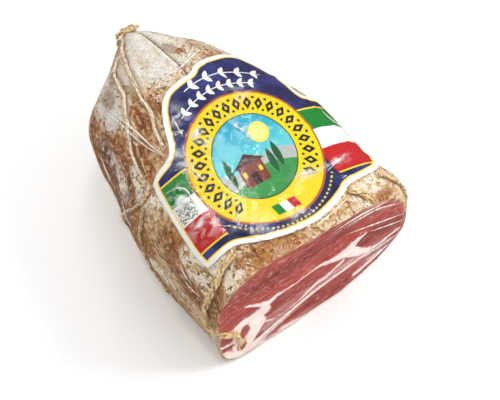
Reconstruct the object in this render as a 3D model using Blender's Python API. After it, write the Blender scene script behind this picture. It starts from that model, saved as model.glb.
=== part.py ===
"""Half coppa: a cured pork neck in its natural casing, tied with twine, sealed and labelled.

Metres, +Z up.  X runs along the meat, from the gathered, tied tip at -X to the cut face at +X.
The piece lies on its flattened underside at Z = 0.  Helper functions work in millimetres and in
two skin coordinates: station, the share of the length from the tip (0) to the cut (1), and girth,
the share of the way round from the crown (0) over +Y and the underside back to the crown (1).
"""

import math

import bmesh
import bpy
import numpy as np
from mathutils import Vector, noise
from mathutils.bvhtree import BVHTree

MM = 0.001
GAP = 0.3                      # left between neighbouring pieces

# The meat: half widths, crown and underside at eight stations along its length.
LENGTH = 178.0
TIP_X = -89.0
SIDE_SHIFT = 0.8               # brings the middle of the whole piece, twine and all, to Y = 0
STATIONS = (0.0, 0.07, 0.2, 0.4, 0.6, 0.8, 0.93, 1.0)
LEFT = (-3.8, -20.0, -51.0, -59.0, -66.0, -64.5, -63.5, -65.0)
RIGHT = (3.4, 15.0, 37.0, 51.5, 59.5, 60.0, 66.0, 60.5)
CROWN = (62.0, 75.0, 86.0, 93.0, 99.5, 99.0, 98.5, 99.5)
UNDERSIDE = (52.0, 34.5, 12.5, 0.0, 0.0, 0.0, 0.0, 0.0)
WAIST_HEIGHT = 0.47            # of the section's height, where it is widest
ROUND = 2.0                    # squareness of the tip's section, an ellipse
CUT_SQUARENESS = (3.6, 3.3, 4.7, 2.0)      # top right, top left, bottom left, bottom right
CROWN_SLOPE = 12.0             # the crown falls this much towards +Y at the cut
SETTLE = 1.4                   # pressed flat where it lies
CUT_LEAN = math.radians(-2.0)
CUT_SKEW = math.radians(1.3)

# Relief of the casing.
LUMP_SIZE = 42.0
LUMP_HEIGHT = 1.5
PLEATS = 9
PLEAT_DEPTH = 0.9
PLEAT_REACH = 0.16
EDGE_ROUND = 1.3
CUT_RELIEF = 0.7
TIP_CAP = ((0.35, 2.0), (0.75, 1.4))       # share of the neck's size, and how far out
TIP_OUT = 2.2

# Mesh density.
RINGS = 36
SIDES = 66
CUT_RINGS = 5

# Twine.  Each run is a list of (station, girth) places on the casing.
TWINE = 2.4
POINT_SPACING = 5.0
FINE_SPACING = 1.5             # for the strand that turns round the edge of the cut
WRAP_TURNS = 1.6
WRAP_STATIONS = (0.004, 0.026)
WRAP_START = 0.62              # of the way round
WRAP_POINTS = 28
SLACK = 0.1                    # more room under the twine, as its tube bends over facets
TOP_RUN = ((0.056, -0.060), (0.085, -0.069), (0.154, -0.050), (0.218, -0.053), (0.291, -0.064),
           (0.351, -0.068), (0.401, -0.077), (0.452, -0.083), (0.490, -0.085))
SIDE_RUN = ((0.150, -0.090), (0.176, -0.084), (0.230, -0.086), (0.278, -0.098), (0.339, -0.116),
            (0.400, -0.132), (0.442, -0.136), (0.500, -0.140), (0.530, -0.142))
HOOP_RUN = ((0.556, -0.137), (0.563, -0.150), (0.558, -0.168), (0.530, -0.200), (0.504, -0.226),
            (0.480, -0.265), (0.470, -0.300), (0.468, -0.325))
LOW_RUN = ((0.582, -0.170), (0.596, -0.195), (0.608, -0.235), (0.622, -0.265), (0.648, -0.290),
           (0.700, -0.310), (0.760, -0.318))
CROSS_RUN = ((0.853, -0.160), (0.884, -0.158), (0.914, -0.156))
FRONT_RUN = ((0.900, -0.107), (0.908, -0.118), (0.918, -0.135), (0.936, -0.155), (0.940, -0.181),
             (0.938, -0.211), (0.948, -0.238), (0.975, -0.248))
CUT_CURL = ((-62.0, 54.5), (-58.5, 50.0), (-54.5, 45.5), (-52.5, 36.0), (-50.5, 25.0))
RIGHT_RUN = ((0.925, 0.073), (0.943, 0.084), (0.965, 0.095), (0.984, 0.103))
CORNER_RUN = ((0.914, 0.131), (0.926, 0.143), (0.942, 0.157), (0.953, 0.182), (0.960, 0.215),
              (0.966, 0.250))
BACK_RUN = ((0.120, 0.215), (0.180, 0.225), (0.260, 0.236), (0.360, 0.245), (0.460, 0.243),
            (0.570, 0.232))
BACK_HOOP_RUN = ((0.585, 0.212), (0.600, 0.235), (0.607, 0.265), (0.606, 0.295), (0.600, 0.320))
BACK_LOW_RUN = ((0.625, 0.240), (0.700, 0.252), (0.800, 0.262), (0.900, 0.270))

# Label: paper, with its outline right and up from the middle of its ring.
LABEL_THICKNESS = 0.4
LABEL_LIFT = 0.7
LABEL_RINGS = 6
LABEL_SIDES = 84
LABEL_STATION = 0.677          # the ring's middle
LABEL_ARC = 3.8                # from the crown towards +Y
LABEL_RIGHT = (0.952, 0.049)   # where a step to the right leads: round, and towards the cut
LABEL_UP = (0.182, -1.058)
LABEL_OUTLINE = ((0, 65), (12, 66.5), (25, 66.7), (35, 64), (42, 57), (45, 48), (46.5, 36), (47, 25),
                 (51, 21), (62, 20.5), (68.5, 15), (71, 3), (71, -12), (69.5, -24), (66, -30),
                 (60, -34), (50, -35.5), (35, -37), (31.5, -39.5), (22, -43.5), (9, -47), (-8, -46.5),
                 (-25, -42.8), (-36, -37), (-40, -36.4), (-55, -37.0), (-57.5, -36.5), (-57.6, -20), (-58.6, 12),
                 (-57, 18), (-52, 20.8), (-43, 22.5), (-39, 27), (-35, 40), (-31, 50), (-24, 57.5),
                 (-13, 60), (-5, 60.5))


def monotone_curve(places, values):
    """Return a smooth function through the values that makes no overshoot between them."""
    places = np.asarray(places, float)
    values = np.asarray(values, float)
    step = np.diff(places)
    rise = np.diff(values) / step
    slope = np.zeros_like(values)
    for i in range(1, len(values) - 1):
        if rise[i - 1] * rise[i] > 0:
            before = 2 * step[i] + step[i - 1]
            after = step[i] + 2 * step[i - 1]
            slope[i] = (before + after) / (before / rise[i - 1] + after / rise[i])
    slope[0] = rise[0]
    slope[-1] = rise[-1]

    def curve(place):
        place = np.asarray(place, float)
        k = np.clip(np.searchsorted(places, place, side="right") - 1, 0, len(step) - 1)
        u = (place - places[k]) / step[k]
        start = (1 + 2 * u) * (1 - u) ** 2 * values[k] + u * (1 - u) ** 2 * step[k] * slope[k]
        end = u * u * (3 - 2 * u) * values[k + 1] + u * u * (u - 1) * step[k] * slope[k + 1]
        return start + end

    return curve


left_at = monotone_curve(STATIONS, LEFT)
right_at = monotone_curve(STATIONS, RIGHT)
crown_at = monotone_curve(STATIONS, CROWN)
underside_at = monotone_curve(STATIONS, UNDERSIDE)


def section(station, samples=720):
    """Return y and z of points round the plain section, from the crown towards +Y."""
    angle = np.pi / 2 - np.linspace(0, 2 * np.pi, samples + 1)
    c, s = np.cos(angle), np.sin(angle)
    left, right = left_at(station), right_at(station)
    top, bottom = crown_at(station), underside_at(station)
    middle_y = (left + right) / 2 + SIDE_SHIFT
    middle_z = bottom + (top - bottom) * WAIST_HEIGHT
    square = [np.interp(station, (0.0, 0.35, 0.9), (ROUND, 2.2, n)) for n in CUT_SQUARENESS]
    corner = np.where(s > 0, np.where(c > 0, square[0], square[1]), np.where(c < 0, square[2], square[3]))
    across = np.sign(c) * np.abs(c) ** (2 / corner)
    up = np.sign(s) * np.abs(s) ** (2 / corner)
    slope = CROWN_SLOPE * np.interp(station, (0.0, 0.5, 1.0), (0.0, 0.35, 1.0))
    height = np.where(s > 0, top - middle_z - slope * across, middle_z - bottom)
    return middle_y + (right - left) / 2 * across, middle_z + height * up


def build_table(rows=201, columns=360):
    """Return the plain skin as a table of y and z, and each row's length round, evenly spaced."""
    table = np.zeros((rows, columns + 1, 2))
    around = np.zeros(rows)
    for i in range(rows):
        y, z = section(i / (rows - 1))
        travel = np.concatenate([[0.0], np.cumsum(np.hypot(np.diff(y), np.diff(z)))])
        even = np.linspace(0, travel[-1], columns + 1)
        table[i, :, 0] = np.interp(even, travel, y)
        table[i, :, 1] = np.interp(even, travel, z)
        around[i] = travel[-1]
    return table, around


TABLE, AROUND = build_table()


def plain_skin(station, girth):
    """Look up y and z of the plain skin."""
    station, girth = np.broadcast_arrays(np.asarray(station, float), np.asarray(girth, float))
    row = np.clip(station, 0, 1) * (TABLE.shape[0] - 1)
    column = np.mod(girth, 1.0) * (TABLE.shape[1] - 1)
    i = np.clip(row.astype(int), 0, TABLE.shape[0] - 2)
    j = np.clip(column.astype(int), 0, TABLE.shape[1] - 2)
    u = (row - i)[..., None]
    v = (column - j)[..., None]
    near = TABLE[i, j] * (1 - v) + TABLE[i, j + 1] * v
    far = TABLE[i + 1, j] * (1 - v) + TABLE[i + 1, j + 1] * v
    return near * (1 - u) + far * u


def girth_length(station):
    """Return the length round the plain section."""
    return np.interp(station, np.linspace(0, 1, len(AROUND)), AROUND)


def lumps(x, y, z):
    """Broad unevenness of the muscle under the casing, from -1 to 1."""
    flat = zip(np.ravel(x), np.ravel(y), np.ravel(z))
    values = [noise.noise(Vector((px, py, pz)) / LUMP_SIZE) for px, py, pz in flat]
    return np.array(values).reshape(np.shape(x))


def skin(station, girth):
    """Return points of the casing in millimetres, an array of x, y, z."""
    station, girth = np.broadcast_arrays(np.asarray(station, float), np.asarray(girth, float))
    point = plain_skin(station, girth)
    ahead = plain_skin(station, girth + 0.004)
    behind = plain_skin(station, girth - 0.004)
    tangent = ahead - behind
    tangent = tangent / np.maximum(np.linalg.norm(tangent, axis=-1, keepdims=True), 1e-9)
    outward = np.stack([-tangent[..., 1], tangent[..., 0]], axis=-1)
    along = TIP_X + station * LENGTH
    full = np.clip((station - 0.03) / 0.25, 0, 1)
    relief = LUMP_HEIGHT * full * lumps(along, point[..., 0], point[..., 1])
    pleat = np.cos(2 * np.pi * PLEATS * girth + 3.0 * station)
    relief = relief + PLEAT_DEPTH * pleat * np.exp(-(station / PLEAT_REACH) ** 2) * np.clip(station / 0.05, 0, 1)
    point = point + outward * relief[..., None]
    y = point[..., 0]
    z = np.maximum(point[..., 1] - SETTLE, 0.0)
    lean = station ** 3 * ((z - 40.0) * math.tan(CUT_LEAN) + y * math.tan(CUT_SKEW))
    return np.stack([along + lean, y, z], axis=-1)


def cut_face_x(y, z):
    """Return how far along the cut face lies: a leaning plane with the low swell of the muscles."""
    lean = (z - 40.0) * math.tan(CUT_LEAN) + y * math.tan(CUT_SKEW)
    swell = np.vectorize(lambda py, pz: noise.noise(Vector((py / 26.0, pz / 16.0, 5.0))))(y, z)
    return TIP_X + LENGTH + lean + CUT_RELIEF * (swell - 0.6)


def skin_normal(station, girth):
    """Return unit vectors that point straight out of the casing."""
    step = 0.004
    along = skin(station + step, girth) - skin(station - step, girth)
    across = skin(station, girth + step) - skin(station, girth - step)
    normal = np.cross(along, across)
    return normal / np.maximum(np.linalg.norm(normal, axis=-1, keepdims=True), 1e-9)


def off_skin(station, girth, lift):
    """Return points that stand off the casing by lift millimetres."""
    return skin(station, girth) + skin_normal(station, girth) * lift


def make_material(name, colour, roughness):
    """Make a plain material in the piece's own colour."""
    material = bpy.data.materials.new(name)
    material.use_nodes = True
    shader = material.node_tree.nodes["Principled BSDF"]
    shader.inputs["Base Color"].default_value = (*colour, 1.0)
    shader.inputs["Roughness"].default_value = roughness
    shader.inputs["Metallic"].default_value = 0.0
    return material


def place_mesh(name, build, material, collection):
    """Turn a bmesh that is in millimetres into a named object in metres."""
    bmesh.ops.scale(build, vec=(MM, MM, MM), verts=build.verts)
    bmesh.ops.recalc_face_normals(build, faces=build.faces)
    mesh = bpy.data.meshes.new(name)
    build.to_mesh(mesh)
    build.free()
    mesh.shade_smooth()
    mesh.materials.append(material)
    piece = bpy.data.objects.new(name, mesh)
    collection.objects.link(piece)
    return piece


def bridge(build, near, far):
    """Join two closed rings of vertices with a band of faces."""
    for i in range(len(near)):
        j = (i + 1) % len(near)
        build.faces.new((near[i], near[j], far[j], far[i]))


def make_coppa(material, collection):
    """The meat in its casing: rings from tip to cut, a rounded tip and a low-relief cut face."""
    build = bmesh.new()
    girth = np.arange(SIDES) / SIDES
    rings = []
    tip = skin(np.zeros(SIDES), girth)
    middle = tip.mean(axis=0)
    for shrink, out in TIP_CAP:
        ring = middle + (tip - middle) * shrink
        ring[:, 0] -= out
        rings.append(ring)
    for i in range(RINGS):
        station = (i / RINGS) ** 1.25 * (1 - EDGE_ROUND / LENGTH)
        rings.append(skin(np.full(SIDES, station), girth))
    rings.append(skin(np.full(SIDES, 1 - EDGE_ROUND / LENGTH), girth))
    edge = skin(np.ones(SIDES), girth)
    centre = edge.mean(axis=0)
    reach = np.linalg.norm(edge - centre, axis=1, keepdims=True)
    for i in range(CUT_RINGS):
        share = (1 - i / CUT_RINGS) * (1 - EDGE_ROUND / reach)
        ring = centre + (edge - centre) * share
        ring[:, 2] = np.maximum(ring[:, 2], EDGE_ROUND)
        ring[:, 0] = cut_face_x(ring[:, 1], ring[:, 2])
        rings.append(ring)
    loops = [[build.verts.new(point) for point in ring] for ring in rings]
    for near, far in zip(loops, loops[1:]):
        bridge(build, near, far)
    tip_point = build.verts.new((TIP_X - TIP_OUT, middle[1], middle[2]))
    cut_point = build.verts.new((cut_face_x(centre[1], centre[2]), centre[1], centre[2]))
    for i in range(SIDES):
        j = (i + 1) % SIDES
        build.faces.new((tip_point, loops[0][j], loops[0][i]))
        build.faces.new((cut_point, loops[-1][i], loops[-1][j]))
    bmesh.ops.triangulate(build, faces=build.faces)
    return place_mesh("coppa", build, material, collection)


def surface_tree(piece):
    """Return a search tree of a piece's triangles, in metres."""
    build = bmesh.new()
    build.from_mesh(piece.data)
    tree = BVHTree.FromBMesh(build)
    build.free()
    return tree


def smooth_route(points, spacing):
    """Return points at an even spacing along a smooth curve through the given points."""
    points = [Vector(p) for p in points]
    ends = [points[0] * 2 - points[1]] + points + [points[-1] * 2 - points[-2]]
    fine = []
    for a, b, c, d in zip(ends, ends[1:], ends[2:], ends[3:]):
        for i in range(16):
            u = i / 16
            bend = (2 * a - 5 * b + 4 * c - d) * u * u + (3 * b - a - 3 * c + d) * u ** 3
            fine.append(b + 0.5 * ((c - a) * u + bend))
    fine.append(points[-1])
    travel = np.concatenate([[0.0], np.cumsum([(q - p).length for p, q in zip(fine, fine[1:])])])
    count = max(4, round(travel[-1] / spacing) + 1)
    even = np.linspace(0, travel[-1], count)
    fine = np.array([tuple(p) for p in fine])
    return np.stack([np.interp(even, travel, fine[:, k]) for k in range(3)], axis=-1)


def hug(route, tree, clearance):
    """Move each point of a route so that it lies just off the meat."""
    laid = []
    for point in route:
        here = Vector(point) * MM
        nearest, normal, _, distance = tree.find_nearest(here)
        outward = here - nearest
        if distance < 1e-6 or outward.dot(normal) < 0:
            outward = normal
        laid.append(nearest + outward.normalized() * clearance * MM)
    return laid


def make_twine(name, laid, material, collection, thickness=TWINE):
    """A strand of twine: a round tube along points in metres."""
    curve = bpy.data.curves.new(name, "CURVE")
    curve.dimensions = "3D"
    curve.bevel_depth = thickness / 2 * MM
    curve.bevel_resolution = 2
    curve.use_fill_caps = True
    line = curve.splines.new("POLY")
    line.points.add(len(laid) - 1)
    for control, point in zip(line.points, laid):
        control.co = (*point, 1.0)
    curve.materials.append(material)
    strand = bpy.data.objects.new(name, curve)
    collection.objects.link(strand)
    return strand


def round_corners(loop, passes=2):
    """Cut the corners of a closed outline, which rounds them off."""
    for _ in range(passes):
        cut = []
        for here, there in zip(loop, loop[1:] + loop[:1]):
            cut.append(here.lerp(there, 0.2))
            cut.append(here.lerp(there, 0.8))
        loop = cut
    return loop


def even_loop(loop, count):
    """Return count points at an even spacing round a closed outline."""
    closed = np.array([tuple(p) for p in loop + loop[:1]])
    travel = np.concatenate([[0.0], np.cumsum(np.linalg.norm(np.diff(closed, axis=0), axis=1))])
    even = np.linspace(0, travel[-1], count, endpoint=False)
    return [(np.interp(d, travel, closed[:, 0]), np.interp(d, travel, closed[:, 1])) for d in even]


def drape(u, v, lift, tree):
    """Return where a place on the paper, u right and v up, lies above the casing."""
    station = LABEL_STATION + (u * LABEL_RIGHT[1] + v * LABEL_UP[1]) / LENGTH
    arc = LABEL_ARC + u * LABEL_RIGHT[0] + v * LABEL_UP[0]
    girth = arc / girth_length(station)
    point = skin(station, girth)
    normal = skin_normal(station, girth)
    start = Vector(point + normal * 10.0) * MM
    hit, _, _, _ = tree.ray_cast(start, Vector(-normal))
    base = np.array(hit) / MM
    return base + normal * lift


def make_label(material, tree, collection):
    """The paper label: its outline shrunk in rings onto its middle, draped just off the casing."""
    outline = round_corners([Vector((u, v, 0)) for u, v in LABEL_OUTLINE])
    rim = even_loop(outline, LABEL_SIDES)
    build = bmesh.new()
    sides = []
    for lift in (LABEL_LIFT, LABEL_LIFT + LABEL_THICKNESS):
        loops = []
        for i in range(LABEL_RINGS):
            share = 1 - i / LABEL_RINGS
            loops.append([build.verts.new(drape(u * share, v * share, lift, tree)) for u, v in rim])
        middle = build.verts.new(drape(0.0, 0.0, lift, tree))
        sides.append((loops, middle))
    for loops, middle in sides:
        for near, far in zip(loops, loops[1:]):
            bridge(build, near, far)
        for i in range(LABEL_SIDES):
            build.faces.new((loops[-1][i], loops[-1][(i + 1) % LABEL_SIDES], middle))
    bridge(build, sides[0][0][0], sides[1][0][0])
    bmesh.ops.triangulate(build, faces=build.faces)
    return place_mesh("label", build, material, collection)


def lay_runs(runs, clearance, tree, material, collection):
    """Lay each run of twine along its places on the casing."""
    for name, run in runs.items():
        route = smooth_route([off_skin(t, w, clearance) for t, w in run], POINT_SPACING)
        make_twine(name, hug(route, tree, clearance), material, collection)


def lay_front(clearance, tree, material, collection):
    """The strand that runs down to the cut, turns round its edge and curls on the meat."""
    front = [off_skin(t, w, clearance) for t, w in FRONT_RUN]
    for y, z in CUT_CURL:
        front.append(np.array((cut_face_x(y, z) + clearance, y, z)))
    loose = hug(smooth_route(front, FINE_SPACING), tree, clearance + 2 * SLACK)
    tight = hug(smooth_route([point / MM for point in loose], FINE_SPACING), tree, clearance + SLACK)
    make_twine("twine_front", tight, material, collection)


def lay_wrap(clearance, tree, material, collection):
    """The turns of twine that close the gathered neck."""
    turn = np.linspace(0, WRAP_TURNS, WRAP_POINTS)
    station = np.interp(turn, (0, WRAP_TURNS), WRAP_STATIONS)
    wrap = off_skin(station, turn + WRAP_START, clearance)
    make_twine("twine_wrap", hug(wrap, tree, clearance), material, collection)


def main():
    for piece in list(bpy.data.objects):
        bpy.data.objects.remove(piece)
    coppa = bpy.data.collections.new("coppa")
    bpy.context.scene.collection.children.link(coppa)
    casing = make_material("casing", (0.62, 0.52, 0.40), 0.55)
    string = make_material("twine", (0.62, 0.47, 0.25), 0.85)
    paper = make_material("label_paper", (0.85, 0.75, 0.20), 0.35)

    meat = make_coppa(casing, coppa)
    tree = surface_tree(meat)
    make_label(paper, tree, coppa)
    clearance = TWINE / 2 + GAP + SLACK
    runs = {"twine_top": TOP_RUN, "twine_side": SIDE_RUN, "twine_hoop": HOOP_RUN, "twine_low": LOW_RUN,
            "twine_cross": CROSS_RUN, "twine_right": RIGHT_RUN, "twine_corner": CORNER_RUN,
            "twine_back": BACK_RUN, "twine_back_hoop": BACK_HOOP_RUN, "twine_back_low": BACK_LOW_RUN}
    lay_runs(runs, clearance, tree, string, coppa)
    lay_front(clearance, tree, string, coppa)
    lay_wrap(clearance, tree, string, coppa)


main()
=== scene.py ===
# %% [markdown]
# # Half a coppa, tied, labelled and sealed
# A coppa is the neck muscle of a pig, salted, slipped into a natural casing, tied with twine and hung
# until a pale mould grows over it.  This one is cut in half, so one end is a gathered, tied tip and
# the other is a flat cut.  A printed paper label lies on its crown, and a clear film shrinks over all
# of it.  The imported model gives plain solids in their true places, and this script gives each of
# them its real surface.  It works in millimetres and turns them into metres at the very end.

# %% Load the frame
import itertools
import math

import bmesh
import bpy
import numpy as np
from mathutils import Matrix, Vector, noise
from mathutils.bvhtree import BVHTree
from mathutils.kdtree import KDTree


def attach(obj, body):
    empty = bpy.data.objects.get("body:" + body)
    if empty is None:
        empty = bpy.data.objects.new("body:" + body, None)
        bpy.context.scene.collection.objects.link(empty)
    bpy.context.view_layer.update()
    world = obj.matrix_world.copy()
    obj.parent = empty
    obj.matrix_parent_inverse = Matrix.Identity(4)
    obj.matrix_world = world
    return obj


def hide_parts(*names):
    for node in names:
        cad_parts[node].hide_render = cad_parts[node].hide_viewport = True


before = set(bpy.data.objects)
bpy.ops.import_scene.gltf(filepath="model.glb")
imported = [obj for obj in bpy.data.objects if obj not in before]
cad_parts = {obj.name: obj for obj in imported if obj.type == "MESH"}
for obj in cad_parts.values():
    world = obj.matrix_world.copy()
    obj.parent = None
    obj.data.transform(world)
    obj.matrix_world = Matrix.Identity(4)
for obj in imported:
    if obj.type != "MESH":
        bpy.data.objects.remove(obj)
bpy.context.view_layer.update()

MM = 0.001
BODY = "root"

# %% [markdown]
# ## Camera
# The piece was shot from high up with a long lens, which keeps its far end from shrinking.  The
# camera could be tracked to an empty, but a place worked out from two angles and a distance is
# easier to change and needs no constraint.

# %% Camera
ELEVATION = math.radians(65.784)
AZIMUTH = math.radians(53.26)
DISTANCE = 1000.0
AIM = Vector((30.453, -1.057, 45.0))
LENS = 130.75
back = Vector((math.sin(AZIMUTH) * math.cos(ELEVATION), -math.cos(AZIMUTH) * math.cos(ELEVATION),
               math.sin(ELEVATION)))
camera_data = bpy.data.cameras.new("camera")
camera_data.lens = LENS
camera_data.sensor_width = 36.0
camera = bpy.data.objects.new("camera", camera_data)
camera.location = (AIM + back * DISTANCE) * MM
camera.rotation_mode = "QUATERNION"
camera.rotation_quaternion = (-back).to_track_quat("-Z", "Y")
scene = bpy.context.scene
scene.collection.objects.link(camera)
scene.camera = camera
scene.view_settings.view_transform = "Standard"
print("camera at", [round(v, 3) for v in camera.location], "m")

# %% [markdown]
# ## Small helpers for materials
# A material here is mostly arithmetic: how far a place is from a line, how strong a patch is.  The
# Math nodes for that could be placed one by one, but a sum of ten terms is then unreadable.  A
# Reading wraps one socket, so that plain Python arithmetic adds the nodes.

# %% Arithmetic on sockets
def paint(red, green, blue):
    """Turn a screen colour, 0 to 255, into the linear colour that a shader takes."""
    screen = np.array((red, green, blue)) / 255.0
    linear = np.where(screen <= 0.04045, screen / 12.92, ((screen + 0.055) / 1.055) ** 2.4)
    return (*[float(v) for v in linear], 1.0)


def feed(tree, slot, value):
    """Put a number, a colour or another node's output into a socket."""
    if isinstance(value, Reading):
        tree.links.new(value.socket, slot)
    elif isinstance(value, bpy.types.NodeSocket):
        tree.links.new(value, slot)
    else:
        slot.default_value = value


class Reading:
    """A number that changes over a surface.  Arithmetic on it adds Math nodes to its tree."""

    def __init__(self, tree, socket):
        self.tree = tree
        self.socket = socket

    def math(self, operation, *others):
        node = self.tree.nodes.new("ShaderNodeMath")
        node.operation = operation
        for slot, value in zip(node.inputs, (self, *others)):
            feed(self.tree, slot, value)
        return Reading(self.tree, node.outputs[0])

    def __add__(self, other):
        return self.math("ADD", other)

    def __mul__(self, other):
        return self.math("MULTIPLY", other)

    def __sub__(self, other):
        return self.math("SUBTRACT", other)

    def __neg__(self):
        return self * -1.0

    def most(self, other):
        return self.math("MAXIMUM", other)

    def least(self, other):
        return self.math("MINIMUM", other)

    def ramp(self, start, end, low=0.0, high=1.0):
        """Go smoothly from low, at start, to high, at end."""
        node = self.tree.nodes.new("ShaderNodeMapRange")
        node.interpolation_type = "SMOOTHSTEP"
        for slot, value in zip(node.inputs, (self, start, end, low, high)):
            feed(self.tree, slot, value)
        return Reading(self.tree, node.outputs[0])


def attribute(tree, name):
    """Read a number that was stored on the mesh."""
    node = tree.nodes.new("ShaderNodeAttribute")
    node.attribute_name = name
    return Reading(tree, node.outputs["Fac"])


def place_on_piece(tree, scale=(1.0, 1.0, 1.0)):
    """Read the place on the piece, in millimetres times scale."""
    coordinates = tree.nodes.new("ShaderNodeTexCoord")
    mapping = tree.nodes.new("ShaderNodeMapping")
    mapping.inputs["Scale"].default_value = [s / MM for s in scale]
    tree.links.new(coordinates.outputs["Object"], mapping.inputs["Vector"])
    return mapping.outputs["Vector"]


def mottle(tree, place, size, detail=3.0, rough=0.6, twist=0.0):
    """Read cloudy noise from 0 to 1 with patches about size across."""
    node = tree.nodes.new("ShaderNodeTexNoise")
    tree.links.new(place, node.inputs["Vector"])
    node.inputs["Scale"].default_value = 1.0 / size
    node.inputs["Detail"].default_value = detail
    node.inputs["Roughness"].default_value = rough
    node.inputs["Distortion"].default_value = twist
    return Reading(tree, node.outputs["Fac"])


def cover(tree, mask, below, above):
    """Lay the colour above over the colour below where the mask is 1."""
    node = tree.nodes.new("ShaderNodeMix")
    node.data_type = "RGBA"
    for slot, value in zip((node.inputs[0], node.inputs[6], node.inputs[7]), (mask, below, above)):
        feed(tree, slot, value)
    return node.outputs[2]


def layered(tree, base, layers):
    """Lay each (mask, colour) over what is below it, the lowest first."""
    for mask, colour in layers:
        base = cover(tree, mask, base, colour)
    return base


def new_material(name):
    """Make a material and return it with its tree and its Principled shader."""
    material = bpy.data.materials.new(name)
    material.use_nodes = True
    tree = material.node_tree
    return material, tree, tree.nodes["Principled BSDF"]


def bump(tree, height, distance, strength=1.0):
    """Turn a height in units of distance (mm) into a normal."""
    node = tree.nodes.new("ShaderNodeBump")
    node.inputs["Strength"].default_value = strength
    node.inputs["Distance"].default_value = distance * MM
    feed(tree, node.inputs["Height"], height)
    return node.outputs["Normal"]


print("helpers ready")

# %% [markdown]
# ## Floor and light
# The studio is a white sweep under one large soft light on the right, so the shadow is only a grey
# breath on the left.  A narrow strip on the left and one behind draw the long glints on the film.  A
# backdrop could curve up behind, but from this high the floor fills the frame, and a wide plane is
# enough.

# %% Floor and light
FLOOR_SIZE = 6000.0
floor_build = bmesh.new()
bmesh.ops.create_grid(floor_build, x_segments=1, y_segments=1, size=FLOOR_SIZE / 2 * MM)
floor_mesh = bpy.data.meshes.new("floor")
floor_build.to_mesh(floor_mesh)
floor_build.free()
floor = bpy.data.objects.new("floor", floor_mesh)
scene.collection.objects.link(floor)
floor_material, tree, shader = new_material("white_sweep")
floor_grain = mottle(tree, place_on_piece(tree), 40.0)
floor_colour = cover(tree, floor_grain, paint(253, 253, 253), paint(255, 255, 255))
tree.links.new(floor_colour, shader.inputs["Base Color"])
shader.inputs["Roughness"].default_value = 0.9
shader.inputs["Specular IOR Level"].default_value = 0.1
floor_mesh.materials.append(floor_material)
floor.visible_glossy = False    # the white sweep would veil the film on every steep side
print("floor", FLOOR_SIZE * MM, "m wide")

# %% Sky and lights
SKY = 0.75
SKY_IN_GLOSS = 0.10            # the room beyond the lights is dark, which keeps the film clear
world = bpy.data.worlds.new("studio")
scene.world = world
world.use_nodes = True
world.node_tree.nodes["Background"].inputs["Color"].default_value = (1.0, 1.0, 1.0, 1.0)
sky = Reading(world.node_tree, world.node_tree.nodes.new("ShaderNodeLightPath").outputs["Is Glossy Ray"])
sky_strength = world.node_tree.nodes["Background"].inputs["Strength"]
feed(world.node_tree, sky_strength, sky * (SKY_IN_GLOSS - SKY) + SKY)

LIGHTS = (                     # (name, place in m, power in W, width and height in m)
    ("key", (0.50, 0.90, 0.95), 12.5, 0.6, 0.5),
    ("strip", (-0.75, -0.15, 0.85), 3.4, 0.08, 0.9),
    ("glint", (-0.34, 0.33, 1.05), 1.8, 0.04, 0.9),
)
LIT_PLACE = Vector((0.0, 0.0, 0.05))


def soft_light(name, place, power, width, height):
    """Hang a rectangular light that looks at the middle of the piece."""
    data = bpy.data.lights.new(name, "AREA")
    data.shape = "RECTANGLE"
    data.size = width
    data.size_y = height
    data.energy = power
    light = bpy.data.objects.new(name, data)
    light.location = place
    light.rotation_mode = "QUATERNION"
    light.rotation_quaternion = (LIT_PLACE - Vector(place)).to_track_quat("-Z", "Y")
    scene.collection.objects.link(light)


for row in LIGHTS:
    soft_light(*row)

# %% [markdown]
# ## The form of the meat
# The solids were lofted from eight sections, each a superellipse with its own corners.  A finer
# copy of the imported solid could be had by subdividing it, but its facets would stay.  The same
# named sizes are used again here, so that the fine skin runs through the same places as the solid.

# %% Sizes of the meat
LENGTH = 178.0
TIP_X = -89.0
SIDE_SHIFT = 0.8
STATIONS = (0.0, 0.07, 0.2, 0.4, 0.6, 0.8, 0.93, 1.0)
LEFT = (-3.8, -20.0, -51.0, -59.0, -66.0, -64.5, -63.5, -65.0)
RIGHT = (3.4, 15.0, 37.0, 51.5, 59.5, 60.0, 66.0, 60.5)
CROWN = (62.0, 75.0, 86.0, 93.0, 99.5, 99.0, 98.5, 99.5)
UNDERSIDE = (52.0, 34.5, 12.5, 0.0, 0.0, 0.0, 0.0, 0.0)
WAIST_HEIGHT = 0.47
ROUND = 2.0
CUT_SQUARENESS = (3.6, 3.3, 4.7, 2.0)      # top right, top left, bottom left, bottom right
CROWN_SLOPE = 12.0
SETTLE = 1.4
FLOOR_GAP = 0.45               # room for the film under the meat
CUT_LEAN = math.radians(-2.0)
CUT_SKEW = math.radians(1.3)
LUMP_SIZE = 42.0
LUMP_HEIGHT = 1.5
PLEATS = 9
PLEAT_DEPTH = 0.9
PLEAT_REACH = 0.16
EDGE_ROUND = 1.3
CUT_RELIEF = 0.7
TIP_CAP = ((0.7, 2.9), (1.35, 2.5), (1.6, 1.9), (1.4, 1.0))    # share of the neck's size, how far out
TIP_OUT = 2.6
RUFFLES = 6
RUFFLE_DEPTH = 0.16
LEAN_HEIGHT = 40.0             # how high the cut's lean turns
NEAR = 0.004                   # a small step, as a share of the girth or the length


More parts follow.
